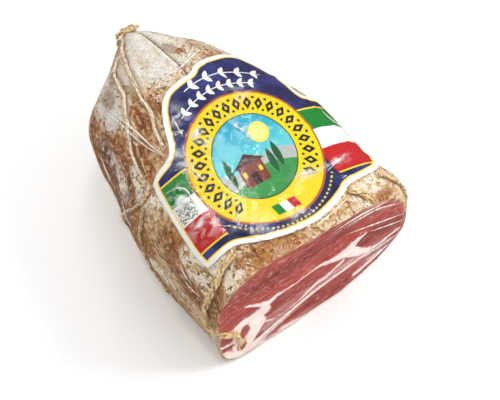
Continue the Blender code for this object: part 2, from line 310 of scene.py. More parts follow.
def monotone_curve(places, values):
    """Return a smooth function through the values that makes no overshoot between them."""
    places = np.asarray(places, float)
    values = np.asarray(values, float)
    step = np.diff(places)
    rise = np.diff(values) / step
    slope = np.zeros_like(values)
    for i in range(1, len(values) - 1):
        if rise[i - 1] * rise[i] > 0:
            before = 2 * step[i] + step[i - 1]
            after = step[i] + 2 * step[i - 1]
            slope[i] = (before + after) / (before / rise[i - 1] + after / rise[i])
    slope[0] = rise[0]
    slope[-1] = rise[-1]

    def curve(place):
        place = np.asarray(place, float)
        k = np.clip(np.searchsorted(places, place, side="right") - 1, 0, len(step) - 1)
        u = (place - places[k]) / step[k]
        start = (1 + 2 * u) * (1 - u) ** 2 * values[k] + u * (1 - u) ** 2 * step[k] * slope[k]
        end = u * u * (3 - 2 * u) * values[k + 1] + u * u * (u - 1) * step[k] * slope[k + 1]
        return start + end

    return curve


left_at = monotone_curve(STATIONS, LEFT)
right_at = monotone_curve(STATIONS, RIGHT)
crown_at = monotone_curve(STATIONS, CROWN)
underside_at = monotone_curve(STATIONS, UNDERSIDE)
print("width at the middle:", round(float(right_at(0.5) - left_at(0.5)), 1), "mm")

# %% The plain section
def section(station, samples=720):
    """Return y and z of points round the plain section, from the crown towards +Y."""
    angle = np.pi / 2 - np.linspace(0, 2 * np.pi, samples + 1)
    c, s = np.cos(angle), np.sin(angle)
    left, right = left_at(station), right_at(station)
    top, bottom = crown_at(station), underside_at(station)
    middle_y = (left + right) / 2 + SIDE_SHIFT
    middle_z = bottom + (top - bottom) * WAIST_HEIGHT
    square = [np.interp(station, (0.0, 0.35, 0.9), (ROUND, 2.2, n)) for n in CUT_SQUARENESS]
    corner = np.where(s > 0, np.where(c > 0, square[0], square[1]), np.where(c < 0, square[2], square[3]))
    across = np.sign(c) * np.abs(c) ** (2 / corner)
    up = np.sign(s) * np.abs(s) ** (2 / corner)
    slope = CROWN_SLOPE * np.interp(station, (0.0, 0.5, 1.0), (0.0, 0.35, 1.0))
    height = np.where(s > 0, top - middle_z - slope * across, middle_z - bottom)
    return middle_y + (right - left) / 2 * across, middle_z + height * up


def build_table(rows=201, columns=360):
    """Return the plain skin as a table of y and z, and each row's length round, evenly spaced."""
    table = np.zeros((rows, columns + 1, 2))
    around = np.zeros(rows)
    for i in range(rows):
        y, z = section(i / (rows - 1))
        travel = np.concatenate([[0.0], np.cumsum(np.hypot(np.diff(y), np.diff(z)))])
        even = np.linspace(0, travel[-1], columns + 1)
        table[i, :, 0] = np.interp(even, travel, y)
        table[i, :, 1] = np.interp(even, travel, z)
        around[i] = travel[-1]
    return table, around


TABLE, AROUND = build_table()
print("length round the cut:", round(float(AROUND[-1]), 1), "mm")


# %% The skin as a function of two coordinates
def plain_skin(station, girth):
    """Look up y and z of the plain skin."""
    station, girth = np.broadcast_arrays(np.asarray(station, float), np.asarray(girth, float))
    row = np.clip(station, 0, 1) * (TABLE.shape[0] - 1)
    column = np.mod(girth, 1.0) * (TABLE.shape[1] - 1)
    i = np.clip(row.astype(int), 0, TABLE.shape[0] - 2)
    j = np.clip(column.astype(int), 0, TABLE.shape[1] - 2)
    u = (row - i)[..., None]
    v = (column - j)[..., None]
    near = TABLE[i, j] * (1 - v) + TABLE[i, j + 1] * v
    far = TABLE[i + 1, j] * (1 - v) + TABLE[i + 1, j + 1] * v
    return near * (1 - u) + far * u


def girth_length(station):
    """Return the length round the plain section."""
    return np.interp(station, np.linspace(0, 1, len(AROUND)), AROUND)


def lumps(x, y, z):
    """Broad unevenness of the muscle under the casing, from -1 to 1."""
    flat = zip(np.ravel(x), np.ravel(y), np.ravel(z))
    values = [noise.noise(Vector((px, py, pz)) / LUMP_SIZE) for px, py, pz in flat]
    return np.array(values).reshape(np.shape(x))


def skin(station, girth):
    """Return points of the casing in millimetres, an array of x, y, z."""
    station, girth = np.broadcast_arrays(np.asarray(station, float), np.asarray(girth, float))
    point = plain_skin(station, girth)
    ahead = plain_skin(station, girth + NEAR)
    behind = plain_skin(station, girth - NEAR)
    tangent = ahead - behind
    tangent = tangent / np.maximum(np.linalg.norm(tangent, axis=-1, keepdims=True), 1e-9)
    outward = np.stack([-tangent[..., 1], tangent[..., 0]], axis=-1)
    along = TIP_X + station * LENGTH
    full = np.clip((station - 0.03) / 0.25, 0, 1)
    relief = LUMP_HEIGHT * full * lumps(along, point[..., 0], point[..., 1])
    pleat = np.cos(2 * np.pi * PLEATS * girth + 3.0 * station)
    pleated = np.exp(-(station / PLEAT_REACH) ** 2) * np.clip(station / 0.05, 0, 1)
    relief = relief + PLEAT_DEPTH * pleat * pleated
    point = point + outward * relief[..., None]
    y = point[..., 0]
    z = np.maximum(point[..., 1] - SETTLE, FLOOR_GAP)
    lean = station ** 3 * ((z - LEAN_HEIGHT) * math.tan(CUT_LEAN) + y * math.tan(CUT_SKEW))
    return np.stack([along + lean, y, z], axis=-1)


# %% The cut, and what points out of the skin
def cut_face_x(y, z):
    """Return how far along the cut face lies: a leaning plane with the low swell of the muscles."""
    lean = (z - LEAN_HEIGHT) * math.tan(CUT_LEAN) + y * math.tan(CUT_SKEW)
    swell = np.vectorize(lambda py, pz: noise.noise(Vector((py / 26.0, pz / 16.0, 5.0))))(y, z)
    return TIP_X + LENGTH + lean + CUT_RELIEF * (swell - 0.6)


def normals_of(grid):
    """Return unit normals of a grid of points, rings by sides, that closes round its sides."""
    along = np.gradient(grid, axis=0)
    across = np.roll(grid, -1, axis=1) - np.roll(grid, 1, axis=1)
    normal = np.cross(along, across)
    return normal / np.maximum(np.linalg.norm(normal, axis=-1, keepdims=True), 1e-9)


def skin_normal(station, girth):
    """Return unit vectors that point straight out of the casing."""
    along = skin(station + NEAR, girth) - skin(station - NEAR, girth)
    across = skin(station, girth + NEAR) - skin(station, girth - NEAR)
    normal = np.cross(along, across)
    return normal / np.maximum(np.linalg.norm(normal, axis=-1, keepdims=True), 1e-9)


def off_skin(station, girth, lift):
    """Return points that stand off the casing by lift millimetres."""
    return skin(station, girth) + skin_normal(station, girth) * np.asarray(lift, float)[..., None]


print("the cut's middle lies at x", round(float(cut_face_x(0.0, LEAN_HEIGHT)), 1), "mm")

# %% [markdown]
# ## Where the twine, creases and patches lie
# On the real piece the twine was pulled tight by hand, so its strands wander.  Each run is a short
# list of places on the casing, the same as in the solids.  Creases of the casing and folds of the
# film are runs too, so one set of functions can measure how far any place is from them.

# %% Runs on the casing
TWINE = 2.4
TOP_RUN = ((0.056, -0.060), (0.085, -0.069), (0.154, -0.050), (0.218, -0.053), (0.291, -0.064),
           (0.351, -0.068), (0.401, -0.077), (0.452, -0.083), (0.490, -0.085))
SIDE_RUN = ((0.150, -0.090), (0.176, -0.084), (0.230, -0.086), (0.278, -0.098), (0.339, -0.116),
            (0.400, -0.132), (0.442, -0.136), (0.500, -0.140), (0.530, -0.142))
HOOP_RUN = ((0.556, -0.137), (0.563, -0.150), (0.558, -0.168), (0.530, -0.200), (0.504, -0.226),
            (0.480, -0.265), (0.470, -0.300), (0.468, -0.325))
LOW_RUN = ((0.582, -0.170), (0.596, -0.195), (0.608, -0.235), (0.622, -0.265), (0.648, -0.290),
           (0.700, -0.310), (0.760, -0.318))
CROSS_RUN = ((0.853, -0.160), (0.884, -0.158), (0.914, -0.156))
FRONT_RUN = ((0.900, -0.107), (0.908, -0.118), (0.918, -0.135), (0.936, -0.155), (0.940, -0.181),
             (0.938, -0.211), (0.948, -0.238), (0.975, -0.248))
CUT_CURL = ((-62.0, 54.5), (-58.5, 50.0), (-54.5, 45.5), (-52.5, 36.0), (-50.5, 25.0))
RIGHT_RUN = ((0.925, 0.073), (0.943, 0.084), (0.965, 0.095), (0.984, 0.103))
CORNER_RUN = ((0.914, 0.131), (0.926, 0.143), (0.942, 0.157), (0.953, 0.182), (0.960, 0.215),
              (0.966, 0.250))
BACK_RUN = ((0.120, 0.215), (0.180, 0.225), (0.260, 0.236), (0.360, 0.245), (0.460, 0.243),
            (0.570, 0.232))
BACK_HOOP_RUN = ((0.585, 0.212), (0.600, 0.235), (0.607, 0.265), (0.606, 0.295), (0.600, 0.320))
BACK_LOW_RUN = ((0.625, 0.240), (0.700, 0.252), (0.800, 0.262), (0.900, 0.270))
CASING_CREASE = ((0.046, 0.062), (0.120, 0.050), (0.196, 0.044), (0.267, 0.036), (0.318, 0.029))
FILM_FOLDS = (
    ((0.274, 0.036), (0.240, 0.078), (0.171, 0.172)),
    ((0.329, -0.036), (0.284, -0.016), (0.276, 0.035), (0.253, 0.079), (0.207, 0.178)),
    ((0.255, -0.024), (0.284, -0.016)),
    ((0.218, -0.142), (0.296, -0.123), (0.376, -0.114), (0.455, -0.103), (0.520, -0.089)),
    ((0.223, -0.132), (0.305, -0.115), (0.379, -0.105), (0.457, -0.098), (0.530, -0.088)),
)
SPACING = 0.8                  # mm between the points of a route
print("runs start", round(TOP_RUN[0][0] * LENGTH), "mm from the tip")


# %% Routes and distances
def smooth_route(points, spacing=SPACING):
    """Return points at an even spacing along a smooth curve through the given points."""
    points = np.asarray(points, float)
    ends = np.concatenate([[points[0] * 2 - points[1]], points, [points[-1] * 2 - points[-2]]])
    fine = []
    for a, b, c, d in zip(ends, ends[1:], ends[2:], ends[3:]):
        u = np.linspace(0, 1, 16, endpoint=False)[:, None]
        bend = (2 * a - 5 * b + 4 * c - d) * u * u + (3 * b - a - 3 * c + d) * u ** 3
        fine.append(b + 0.5 * ((c - a) * u + bend))
    fine = np.concatenate(fine + [points[-1:]])
    travel = np.concatenate([[0.0], np.cumsum(np.linalg.norm(np.diff(fine, axis=0), axis=1))])
    count = max(4, round(travel[-1] / spacing) + 1)
    even = np.linspace(0, travel[-1], count)
    return np.stack([np.interp(even, travel, fine[:, k]) for k in range(fine.shape[1])], axis=-1)


def on_casing(run, lift=0.0):
    """Return a smooth route through a run's places, lifted off the casing."""
    station, girth = np.array(run).T
    return smooth_route(off_skin(station, girth, np.full(len(run), lift)))


FARTHEST = 12.0                # mm past which no distance to a route is measured


def reach_to(points, routes):
    """Return how far each point is from the nearest route, in millimetres."""
    samples = np.concatenate(routes)
    tree = KDTree(len(samples))
    for i, sample in enumerate(samples):
        tree.insert(sample, i)
    tree.balance()
    flat = [min(tree.find(p)[2], FARTHEST) for p in points.reshape(-1, 3)]
    return np.array(flat).reshape(points.shape[:-1])


def bell(distance, width):
    """1 at a line, falling off to nothing over about twice the width."""
    return np.exp(-(distance / width) ** 2)


def ease(value, start, end):
    """Go smoothly from 0, at start, to 1, at end."""
    u = np.clip((value - start) / (end - start), 0, 1)
    return u * u * (3 - 2 * u)


def cloud(points, size, seed):
    """Return smooth noise from -1 to 1 with blobs about size across."""
    table = np.random.default_rng(seed).uniform(-1, 1, (32, 32, 32))
    place = points / size
    cell = np.floor(place).astype(int)
    part = place - cell
    part = part * part * (3 - 2 * part)
    total = np.zeros(points.shape[:-1])
    for corner in itertools.product((0, 1), repeat=3):
        weight = np.prod(np.where(np.array(corner) == 1, part, 1 - part), axis=-1)
        i, j, k = np.moveaxis((cell + corner) % 32, -1, 0)
        total += weight * table[i, j, k]
    return total


STRANDS = (TOP_RUN, SIDE_RUN, HOOP_RUN, LOW_RUN, CROSS_RUN, RIGHT_RUN, CORNER_RUN, BACK_RUN,
           BACK_HOOP_RUN, BACK_LOW_RUN, FRONT_RUN)
strand_routes = [on_casing(run) for run in STRANDS]
crease_route = on_casing(CASING_CREASE)
print("strands:", [round(len(route) * SPACING) for route in strand_routes], "mm")

# %% [markdown]
# ## The casing
# The casing is a dried membrane that follows every lump of the meat, with furrows where the twine
# pulls in, pleats at the tied tip and one deep crease along the crown.  Displacement in the material
# would be lost in the printed mesh, so the relief is in the points: a fine grid of rings, each point
# moved out by a sum of small functions.

# %% Patches of colour on the casing
# Each patch is (station, girth, reach along, reach round, strength), with both reaches in mm.
COMB = (0.245, -0.073)         # where the strand has pressed a comb of small ribs
BROWN = (
    (0.33, -0.205, 34, 24, 1.0), (0.46, -0.170, 20, 26, 1.0), (0.50, -0.240, 40, 24, 0.9),
    (0.36, -0.090, 16, 5, 1.0), (0.25, -0.072, 14, 3, 0.7), (0.36, -0.052, 16, 4, 0.9),
    (0.75, -0.172, 13, 8, 1.0), (0.81, -0.178, 6, 6, 0.9), (0.21, 0.072, 5, 5, 0.8),
    (0.95, -0.092, 5, 22, 1.0), (0.965, -0.19, 8, 16, 0.9), (0.88, -0.225, 18, 9, 0.9),
    (0.975, 0.125, 5, 10, 0.8), (0.60, 0.20, 30, 30, 0.6), (0.75, 0.42, 50, 30, 0.7),
    (0.45, 0.45, 40, 40, 0.7), (0.70, -0.33, 40, 20, 0.6), (0.30, 0.27, 20, 20, 0.6),
    (0.27, 0.11, 9, 9, 0.6), (0.17, 0.10, 12, 7, 0.5), (0.37, 0.10, 14, 12, 0.6),
    (0.82, -0.205, 22, 7, 0.8), (0.962, -0.072, 6, 20, 1.0), (0.73, -0.165, 12, 9, 0.9),
    (0.836, -0.212, 16, 10, 0.9), (0.974, -0.03, 4, 14, 0.6), (0.52, 0.27, 26, 12, 0.9),
    (0.80, 0.26, 16, 12, 0.9), (0.38, 0.36, 22, 14, 0.9), (0.90, 0.42, 14, 26, 0.9),
)
PALE = (
    (0.04, 0.0, 30, 60, 1.0), (0.17, 0.0, 22, 30, 1.0), (0.24, -0.13, 14, 16, 0.9),
    (0.20, 0.14, 22, 26, 0.45), (0.13, 0.5, 30, 60, 0.7), (0.36, -0.179, 13, 3.2, 1.0),
    (0.55, -0.165, 13, 4, 0.8), (0.86, -0.165, 8, 9, 0.6), (0.96, 0.09, 8, 14, 0.5),
    (0.35, 0.20, 30, 12, 0.6), (0.80, 0.22, 22, 14, 0.6), (0.28, 0.30, 24, 20, 0.9),
    (0.64, 0.33, 26, 18, 0.9), (0.88, 0.31, 14, 16, 0.9), (0.50, 0.40, 18, 16, 0.8),
)
GOLD = (
    (0.50, -0.095, 10, 6, 0.9), (0.58, -0.145, 9, 12, 0.9), (0.65, -0.155, 16, 9, 0.6),
    (0.43, -0.174, 2.5, 2.5, 1.0), (0.80, -0.150, 22, 10, 0.8), (0.88, -0.14, 12, 10, 0.7),
    (0.66, -0.135, 12, 9, 0.6), (0.93, 0.03, 9, 26, 0.5), (0.60, -0.23, 10, 14, 0.7),
    (0.93, 0.11, 9, 12, 0.8), (0.12, -0.07, 16, 3, 0.5), (0.962, -0.085, 6, 28, 1.0),
    (0.85, -0.165, 14, 9, 0.9), (0.93, -0.13, 8, 8, 0.9),
)
CHALK = (
    (0.815, -0.162, 9, 7, 0.9), (0.860, -0.168, 9, 8, 1.0), (0.900, -0.170, 7, 8, 1.0),
    (0.905, -0.134, 7, 7, 0.9), (0.966, -0.130, 5, 7, 0.9), (0.930, 0.110, 9, 18, 0.42),
    (0.900, 0.060, 7, 14, 0.3), (0.60, -0.140, 12, 6, 0.6), (0.44, -0.190, 8, 6, 0.6),
    (0.52, -0.150, 14, 5, 0.8), (0.74, 0.25, 20, 14, 0.7), (0.50, 0.30, 16, 10, 0.6),
    (0.86, 0.36, 14, 14, 0.6), (0.70, -0.27, 16, 8, 0.6),
)
# Darker grey-brown patches on the flanks, the tip and the back: painted shade.
SHADE_PATCHES = (
    (0.086, 0.117, 12, 6, 0.7), (0.150, 0.169, 16, 10, 0.8), (0.270, 0.124, 18, 12, 1.0),
    (0.191, 0.063, 8, 5, 0.9), (0.030, -0.122, 8, 5, 0.9), (0.075, -0.112, 9, 4, 1.0),
    (0.157, -0.100, 10, 5, 0.7), (0.206, -0.121, 12, 8, 0.7), (0.200, -0.020, 9, 7, 0.4),
    (0.10, 0.30, 18, 12, 0.8), (0.22, 0.42, 22, 18, 0.8), (0.16, -0.30, 16, 16, 0.8),
    (0.40, 0.28, 20, 12, 0.7), (0.68, 0.30, 18, 12, 0.7), (0.10, -0.20, 12, 8, 0.6),
)


def patches(station, girth, places):
    """Return how strongly each place is covered by any of the patches, from 0 to 1."""
    total = np.zeros(np.broadcast(station, girth).shape)
    for at, around, reach_along, reach_round, strength in places:
        along = (station - at) * LENGTH / reach_along
        turn = (girth - around + 0.5) % 1.0 - 0.5
        across = turn * girth_length(station) / reach_round
        total = np.maximum(total, strength * np.exp(-(along ** 2 + across ** 2)))
    return total


print("patches:", [len(places) for places in (BROWN, PALE, GOLD, CHALK, SHADE_PATCHES)])


# %% Relief of the casing
CASING_CLOUDS = ((9.0, 0.34, 1), (4.0, 0.2, 2), (1.9, 0.1, 3))       # (size, height, seed)
FURROW, FURROW_BANK = 0.8, 0.45          # depth under a strand and height of the bank beside it
CREASE, CREASE_BANK = 1.3, 0.7
POCK_SIZE, POCK_DEPTH = 2.6, 0.7
COMB_STEP, COMB_HEIGHT = 2.6, 0.45
STEADY = 4.0                   # mm above the floor below which the relief dies away


def casing_relief(points, station, girth):
    """Return how far each point of the casing stands out from the plain skin."""
    to_strand = reach_to(points, strand_routes)
    to_crease = reach_to(points, [crease_route])
    relief = sum(height * cloud(points, size, seed) for size, height, seed in CASING_CLOUDS)
    relief -= FURROW * bell(to_strand, 1.7) - FURROW_BANK * bell(to_strand - 3.4, 1.5)
    relief -= CREASE * bell(to_crease, 0.8) - CREASE_BANK * bell(to_crease - 2.3, 1.4)
    pocks = np.maximum(cloud(points, POCK_SIZE, 4) - 0.25, 0) * patches(station, girth, PALE + GOLD)
    relief -= POCK_DEPTH * pocks
    comb = patches(station, girth, ((*COMB, 11, 2.6, 1.0),))
    relief += COMB_HEIGHT * comb * np.sin(2 * np.pi * station * LENGTH / COMB_STEP)
    tip = ease(station, 0.02, 0.12)
    return relief * (0.35 + 0.65 * tip) * ease(points[..., 2], FLOOR_GAP, STEADY)


print("a furrow is", FURROW, "mm deep under each strand")


# %% Mesh helpers
def ring_mesh(name, grid, poles):
    """Return a closed mesh of rings with a pole at each end, in metres, with its faces outwards."""
    rings, sides = grid.shape[:2]
    points = np.concatenate([grid.reshape(-1, 3), np.array(poles)]) * MM
    i, j = np.meshgrid(np.arange(rings - 1), np.arange(sides), indexing="ij")
    k = (j + 1) % sides
    quads = np.stack([i * sides + j, (i + 1) * sides + j, (i + 1) * sides + k, i * sides + k], -1)
    first, last = len(points) - 2, len(points) - 1
    faces = quads.reshape(-1, 4).tolist()
    for a in range(sides):
        b = (a + 1) % sides
        faces.append((first, a, b))
        faces.append((last, (rings - 1) * sides + b, (rings - 1) * sides + a))
    mesh = bpy.data.meshes.new(name)
    mesh.from_pydata(points.tolist(), [], faces)
    mesh.shade_smooth()
    return mesh


def store(mesh, name, values):
    """Keep a number for each point of the mesh, for its material to read."""
    kept = mesh.attributes.new(name, "FLOAT", "POINT")
    padded = np.zeros(len(mesh.vertices))
    values = np.ravel(values)
    padded[:len(values)] = values
    kept.data.foreach_set("value", padded)


def new_piece(name, mesh, *materials):
    """Put a finished mesh in the scene with its materials."""
    for material in materials:
        mesh.materials.append(material)
    piece = bpy.data.objects.new(name, mesh)
    scene.collection.objects.link(piece)
    triangles = sum(len(f.vertices) - 2 for f in mesh.polygons)
    print(name, len(mesh.vertices), "points,", triangles, "triangles")
    return piece


print("mesh helpers ready")

# %% Rings of the casing
RINGS = 262
SIDES = 350

last_station = 1 - EDGE_ROUND / LENGTH
station_grid, girth_grid = np.meshgrid(np.linspace(0, 1, RINGS) ** 1.15 * last_station,
                                       np.arange(SIDES) / SIDES, indexing="ij")
plain_casing = skin(station_grid, girth_grid)
casing_normals = normals_of(plain_casing)
relief = casing_relief(plain_casing, station_grid, girth_grid)
casing_grid = plain_casing + casing_normals * relief[..., None]
casing_grid[..., 2] = np.maximum(casing_grid[..., 2], FLOOR_GAP)
print("relief from", round(float(relief.min()), 2), "to", round(float(relief.max()), 2), "mm")

# %% Tip and cut end of the casing
tip_ring = casing_grid[0]
tip_middle = tip_ring.mean(axis=0)
ruffle = 1 + RUFFLE_DEPTH * np.cos(2 * np.pi * RUFFLES * np.arange(SIDES) / SIDES + 1.0)[:, None]
tip_rings = [tip_middle + (tip_ring - tip_middle) * shrink * ruffle - np.array((out, 0, 0))
             for shrink, out in TIP_CAP]
cut_ring = skin(np.ones(SIDES), np.arange(SIDES) / SIDES)
cut_middle = cut_ring.mean(axis=0)
cut_out = cut_ring - cut_middle
cut_out = cut_out / np.linalg.norm(cut_out, axis=1, keepdims=True)


def inner_ring(inset, back_by):
    """Return the outline of the cut moved in and back by some millimetres."""
    ring = cut_ring - cut_out * inset
    ring[:, 2] = np.maximum(ring[:, 2], FLOOR_GAP + inset * 0.6)
    ring[:, 0] = cut_face_x(ring[:, 1], ring[:, 2]) - back_by
    return ring


end_rings = [inner_ring(0.25, 0.35), inner_ring(0.8, 0.5), inner_ring(2.5, 2.5)]
casing_full = np.concatenate([tip_rings, casing_grid, end_rings])
casing_poles = [tip_middle - (TIP_OUT, 0, 0), end_rings[-1].mean(axis=0)]
casing_mesh = ring_mesh("casing", casing_full, casing_poles)

# %% What the casing's material reads
padding = ((len(TIP_CAP), 3), (0, 0))
for name, places in (("brown", BROWN), ("pale", PALE), ("gold", GOLD), ("chalk", CHALK),
                     ("painted_shade", SHADE_PATCHES), ("comb", ((*COMB, 13, 3.2, 1.0),))):
    store(casing_mesh, name, np.pad(patches(station_grid, girth_grid, places), padding, "edge"))
for name, routes in (("to_strand", strand_routes), ("to_crease", [crease_route])):
    store(casing_mesh, name, np.pad(reach_to(plain_casing, routes), padding, "edge"))
print("kept on the casing:", [kept.name for kept in casing_mesh.attributes])

# %% [markdown]
# ## What the casing looks like
# Mould covers the tip in grey-white.  Further down it thins to a beige net over brown, dried meat,
# with small dark flecks and gold where fat came through.  An image would be the usual way to paint
# this; here the stored patches only say where each kind lies, and noise at several sizes breaks them
# up.  The flecks are a node group, because the marbling of the cut and the twine take them too.

# %% Fleck group, shared by several materials
def fleck_group():
    """Build the group once: small specks whose size, number and sharpness are its inputs."""
    group = bpy.data.node_groups.new("flecks", "ShaderNodeTree")
    for name, default in (("Size", 1.0), ("Amount", 0.5), ("Softness", 0.05)):
        socket = group.interface.new_socket(name, in_out="INPUT", socket_type="NodeSocketFloat")
        socket.default_value = default
    group.interface.new_socket("Vector", in_out="INPUT", socket_type="NodeSocketVector")
    group.interface.new_socket("Mask", in_out="OUTPUT", socket_type="NodeSocketFloat")
    entry = group.nodes.new("NodeGroupInput")
    leave = group.nodes.new("NodeGroupOutput")
    size = Reading(group, entry.outputs["Size"])
    amount = Reading(group, entry.outputs["Amount"])
    softness = Reading(group, entry.outputs["Softness"])
    cells = group.nodes.new("ShaderNodeTexNoise")
    group.links.new(entry.outputs["Vector"], cells.inputs["Vector"])
    feed(group, cells.inputs["Scale"], size.math("POWER", -1.0))
    cells.inputs["Detail"].default_value = 2.0
    cells.inputs["Roughness"].default_value = 0.55
    level = Reading(group, cells.outputs["Fac"]) + amount * 0.3
    mask = level.ramp(0.72, softness + 0.72)
    group.links.new(mask.socket, leave.inputs["Mask"])
    return group


FLECKS = fleck_group()


def flecks(tree, place, size, amount, softness=0.05):
    """Place the fleck group with its own values."""
    node = tree.nodes.new("ShaderNodeGroup")
    node.node_tree = FLECKS
    tree.links.new(place, node.inputs["Vector"])
    for name, value in (("Size", size), ("Amount", amount), ("Softness", softness)):
        feed(tree, node.inputs[name], value)
    return Reading(tree, node.outputs["Mask"])


print("group", FLECKS.name, "has", len(FLECKS.nodes), "nodes")

# %% Noises and marks of the casing
casing_material, tree, shader = new_material("mouldy_casing")
place = place_on_piece(tree)
brown, pale, gold, chalky, shaded, near_strand, near_crease, combed = (
    attribute(tree, name)
    for name in ("brown", "pale", "gold", "chalk", "painted_shade", "to_strand", "to_crease", "comb"))
broad = mottle(tree, place, 9.0, detail=4.0, rough=0.62)
worn = mottle(tree, place, 6.5, detail=3.0, rough=0.55)
crusty = mottle(tree, place, 4.0, 4.0, 0.6)
middle = mottle(tree, place, 3.0, detail=5.0, rough=0.68, twist=0.8)
blotch = mottle(tree, place_on_piece(tree, (0.8, 1.1, 1.1)), 2.4, 2.0, 0.5)
small = mottle(tree, place, 1.4, detail=4.0, rough=0.66)
fine = mottle(tree, place, 0.7, detail=3.0, rough=0.7)
pits = flecks(tree, place, 2.8, chalky * 0.2 + 0.30, 0.03)
# specks and dust are denser where the grey-brown shade is painted
specks = flecks(tree, place, 1.4, brown * 0.3 + shaded * 0.2 + 0.26) * worn.ramp(0.38, 0.58, 0.2, 1.0)
dust = flecks(tree, place, 0.8, shaded * 0.2 + 0.32) * worn.ramp(0.36, 0.56)
print("casing tree starts with", len(tree.nodes), "nodes")

# %% Paints of the casing: a dark one and a light one of each
CREAM = paint(214, 186, 144), paint(244, 228, 200)
MOULD = paint(198, 190, 174), paint(233, 230, 223)
SHADE_PAINTS = paint(104, 80, 62), paint(196, 176, 156)
RUST = paint(108, 48, 18), paint(190, 122, 66)
CHALKED = paint(240, 220, 184), paint(255, 252, 238)
PITTED = paint(84, 42, 18), paint(168, 108, 52)

cream = cover(tree, small.ramp(0.38, 0.62), *CREAM)
rust = cover(tree, small.ramp(0.36, 0.62), *RUST)
mould = layered(tree, cover(tree, small.ramp(0.32, 0.58), *MOULD), (
    (worn.ramp(0.50, 0.66) * 0.75, paint(214, 196, 160)),
    # painted shade: grey-brown laid over the mould in the shade patches
    ((shaded + middle * 0.5).ramp(0.62, 0.86) * 0.8, cover(tree, small, *SHADE_PAINTS)),
))
print("casing tree has", len(tree.nodes), "nodes with its paints")

# %% Layers of the casing
mouldy = pale + broad * 0.5 + middle * 0.3
rusty = middle * 0.55 + broad * 0.35 + small * 0.2 + brown * 0.36 - pale * 0.16
scorched = small * 0.6 + broad * 0.4 + brown * 0.3
patchy = pale.ramp(0.3, 0.8, 1.0, 0.15)
net = (middle - 0.5).math("ABSOLUTE").ramp(0.0, 0.025, 1.0, 0.0)
crumbs = (small * 0.7 + fine * 0.3).ramp(0.535, 0.60)
chalk = crusty.ramp(0.40, 0.48) * chalky.ramp(0.15, 0.45)
stripes = combed.ramp(0.25, 0.7) * middle.ramp(0.3, 0.6)
base = layered(tree, paint(164, 112, 64), (
    (middle.ramp(0.40, 0.54), cream),
    (mouldy.ramp(0.62, 0.98), mould),
    (rusty.ramp(0.66, 0.74), rust),
    (scorched.ramp(0.76, 0.82) * 0.85, paint(74, 32, 12)),
    (blotch.ramp(0.46, 0.38) * patchy * 0.7, paint(84, 42, 16)),
    (blotch.ramp(0.57, 0.63) * patchy * 0.75, paint(222, 192, 150)),
    (net.most(crumbs) * brown * worn.ramp(0.42, 0.58, 0.1, 0.95), paint(224, 192, 150)),
    (gold * middle.ramp(0.60, 0.50) * 0.75, paint(196, 142, 74)),
    (chalk * 0.85, cover(tree, small.ramp(0.3, 0.6), *CHALKED)),
    (pits * chalky.ramp(0.1, 0.5) * 0.95, cover(tree, small, *PITTED)),
    (specks * 0.85, paint(96, 52, 26)),
    (dust * 0.6, paint(124, 100, 74)),
    (stripes * 0.5, paint(150, 108, 68)),
    # painted shade: dark brown along the crease
    (near_crease.ramp(0.2, 1.1, 0.85, 0.0), paint(104, 76, 48)),
    # tan beside each strand: partly a tint of the casing, partly painted shade from the twine
    (near_strand.ramp(0.6, 2.6, 0.5, 0.0), paint(170, 126, 76)),
    (fine.ramp(0.35, 0.65, 0.22, 0.0), paint(112, 68, 36)),
))
tree.links.new(base, shader.inputs["Base Color"])
feed(tree, shader.inputs["Roughness"], fine.ramp(0.2, 0.8, 0.6, 0.85))
shader.inputs["Specular IOR Level"].default_value = 0.15
height = middle * 0.6 + small * 0.4 + fine * 0.3 - specks * 0.5
tree.links.new(bump(tree, height, 0.7, 0.8), shader.inputs["Normal"])
casing = new_piece("casing", casing_mesh, casing_material)

# %% [markdown]
# ## The cut face
# The cut shows several muscles, brick red to purple, parted by white fat.  Each seam of fat is a run
# of places with a width.  How far a point of the face is from the seams is worked out once and kept
# on the mesh, and the material turns it into an edge, torn a little by noise.  That stays sharp at
# any zoom, and the same numbers raise the fat a little over the lean.

# %% Seams and muscles, in y and z on the cut
SEAMS = (                       # (y, z, half the width) along each seam
    ((-54, 10, 2.0), (-54, 22, 2.0), (-53, 36, 2.2), (-51, 47, 3.8), (-44, 49, 6.0), (-37, 46, 7.2),
     (-33, 53, 3.5), (-27, 57, 1.8), (-20, 57, 0.9), (-12, 56, 0.8), (-4, 57, 0.9), (3, 58, 1.7),
     (10, 55, 2.8), (17, 53, 5.0), (23, 55, 4.8), (28, 58, 2.6), (34, 59, 0.7)),
    ((-33, 55, 2.4), (-38, 60, 1.6), (-46, 69, 0.7)),
    ((20, 52, 4.6), (25, 46, 4.2), (30, 39, 3.2), (36, 34, 2.2)),
    ((-65, 30, 1.4), (-61, 22, 3.0), (-57, 12, 4.0)),
    ((-40, 42, 5.0), (-38, 34, 5.0), (-44, 24, 5.0), (-48, 14, 5.5), (-50, 4, 6.0), (-54, -2, 5.0)),
    ((-37, 33, 1.0), (-30, 28, 0.5), (-20, 27, 0.4), (-11, 29, 0.6), (-5, 33, 1.6), (2, 37, 2.2),
     (7, 36, 1.6), (12, 41, 1.0), (18, 44, 1.6)),
    ((-48, 2, 4.4), (-41, 9, 4.0), (-32, 15, 3.0), (-22, 20, 2.2), (-12, 24, 1.6), (-2, 27, 1.6),
     (10, 29, 1.8), (22, 30, 1.9), (34, 31, 1.8), (45, 33, 1.4), (57, 37, 0.9)),
    ((-48, -1, 5.0), (-40, 1, 4.4), (-30, 2, 4.0), (-22, 4, 3.4), (-15, 3, 2.4), (-6, 1, 1.2)),
    ((28, 13, 2.8), (36, 17, 2.2), (46, 21, 1.2)),
    ((-64, 50, 1.2), (-66, 38, 2.2), (-66, 24, 3.0), (-64, 12, 5.0), (-58, 2, 7.0), (-50, -1, 6.0)),
    ((-66, 34, 1.2), (-54, 31, 1.6)), ((-64, 50, 1.2), (-54, 47, 2.2)),
)
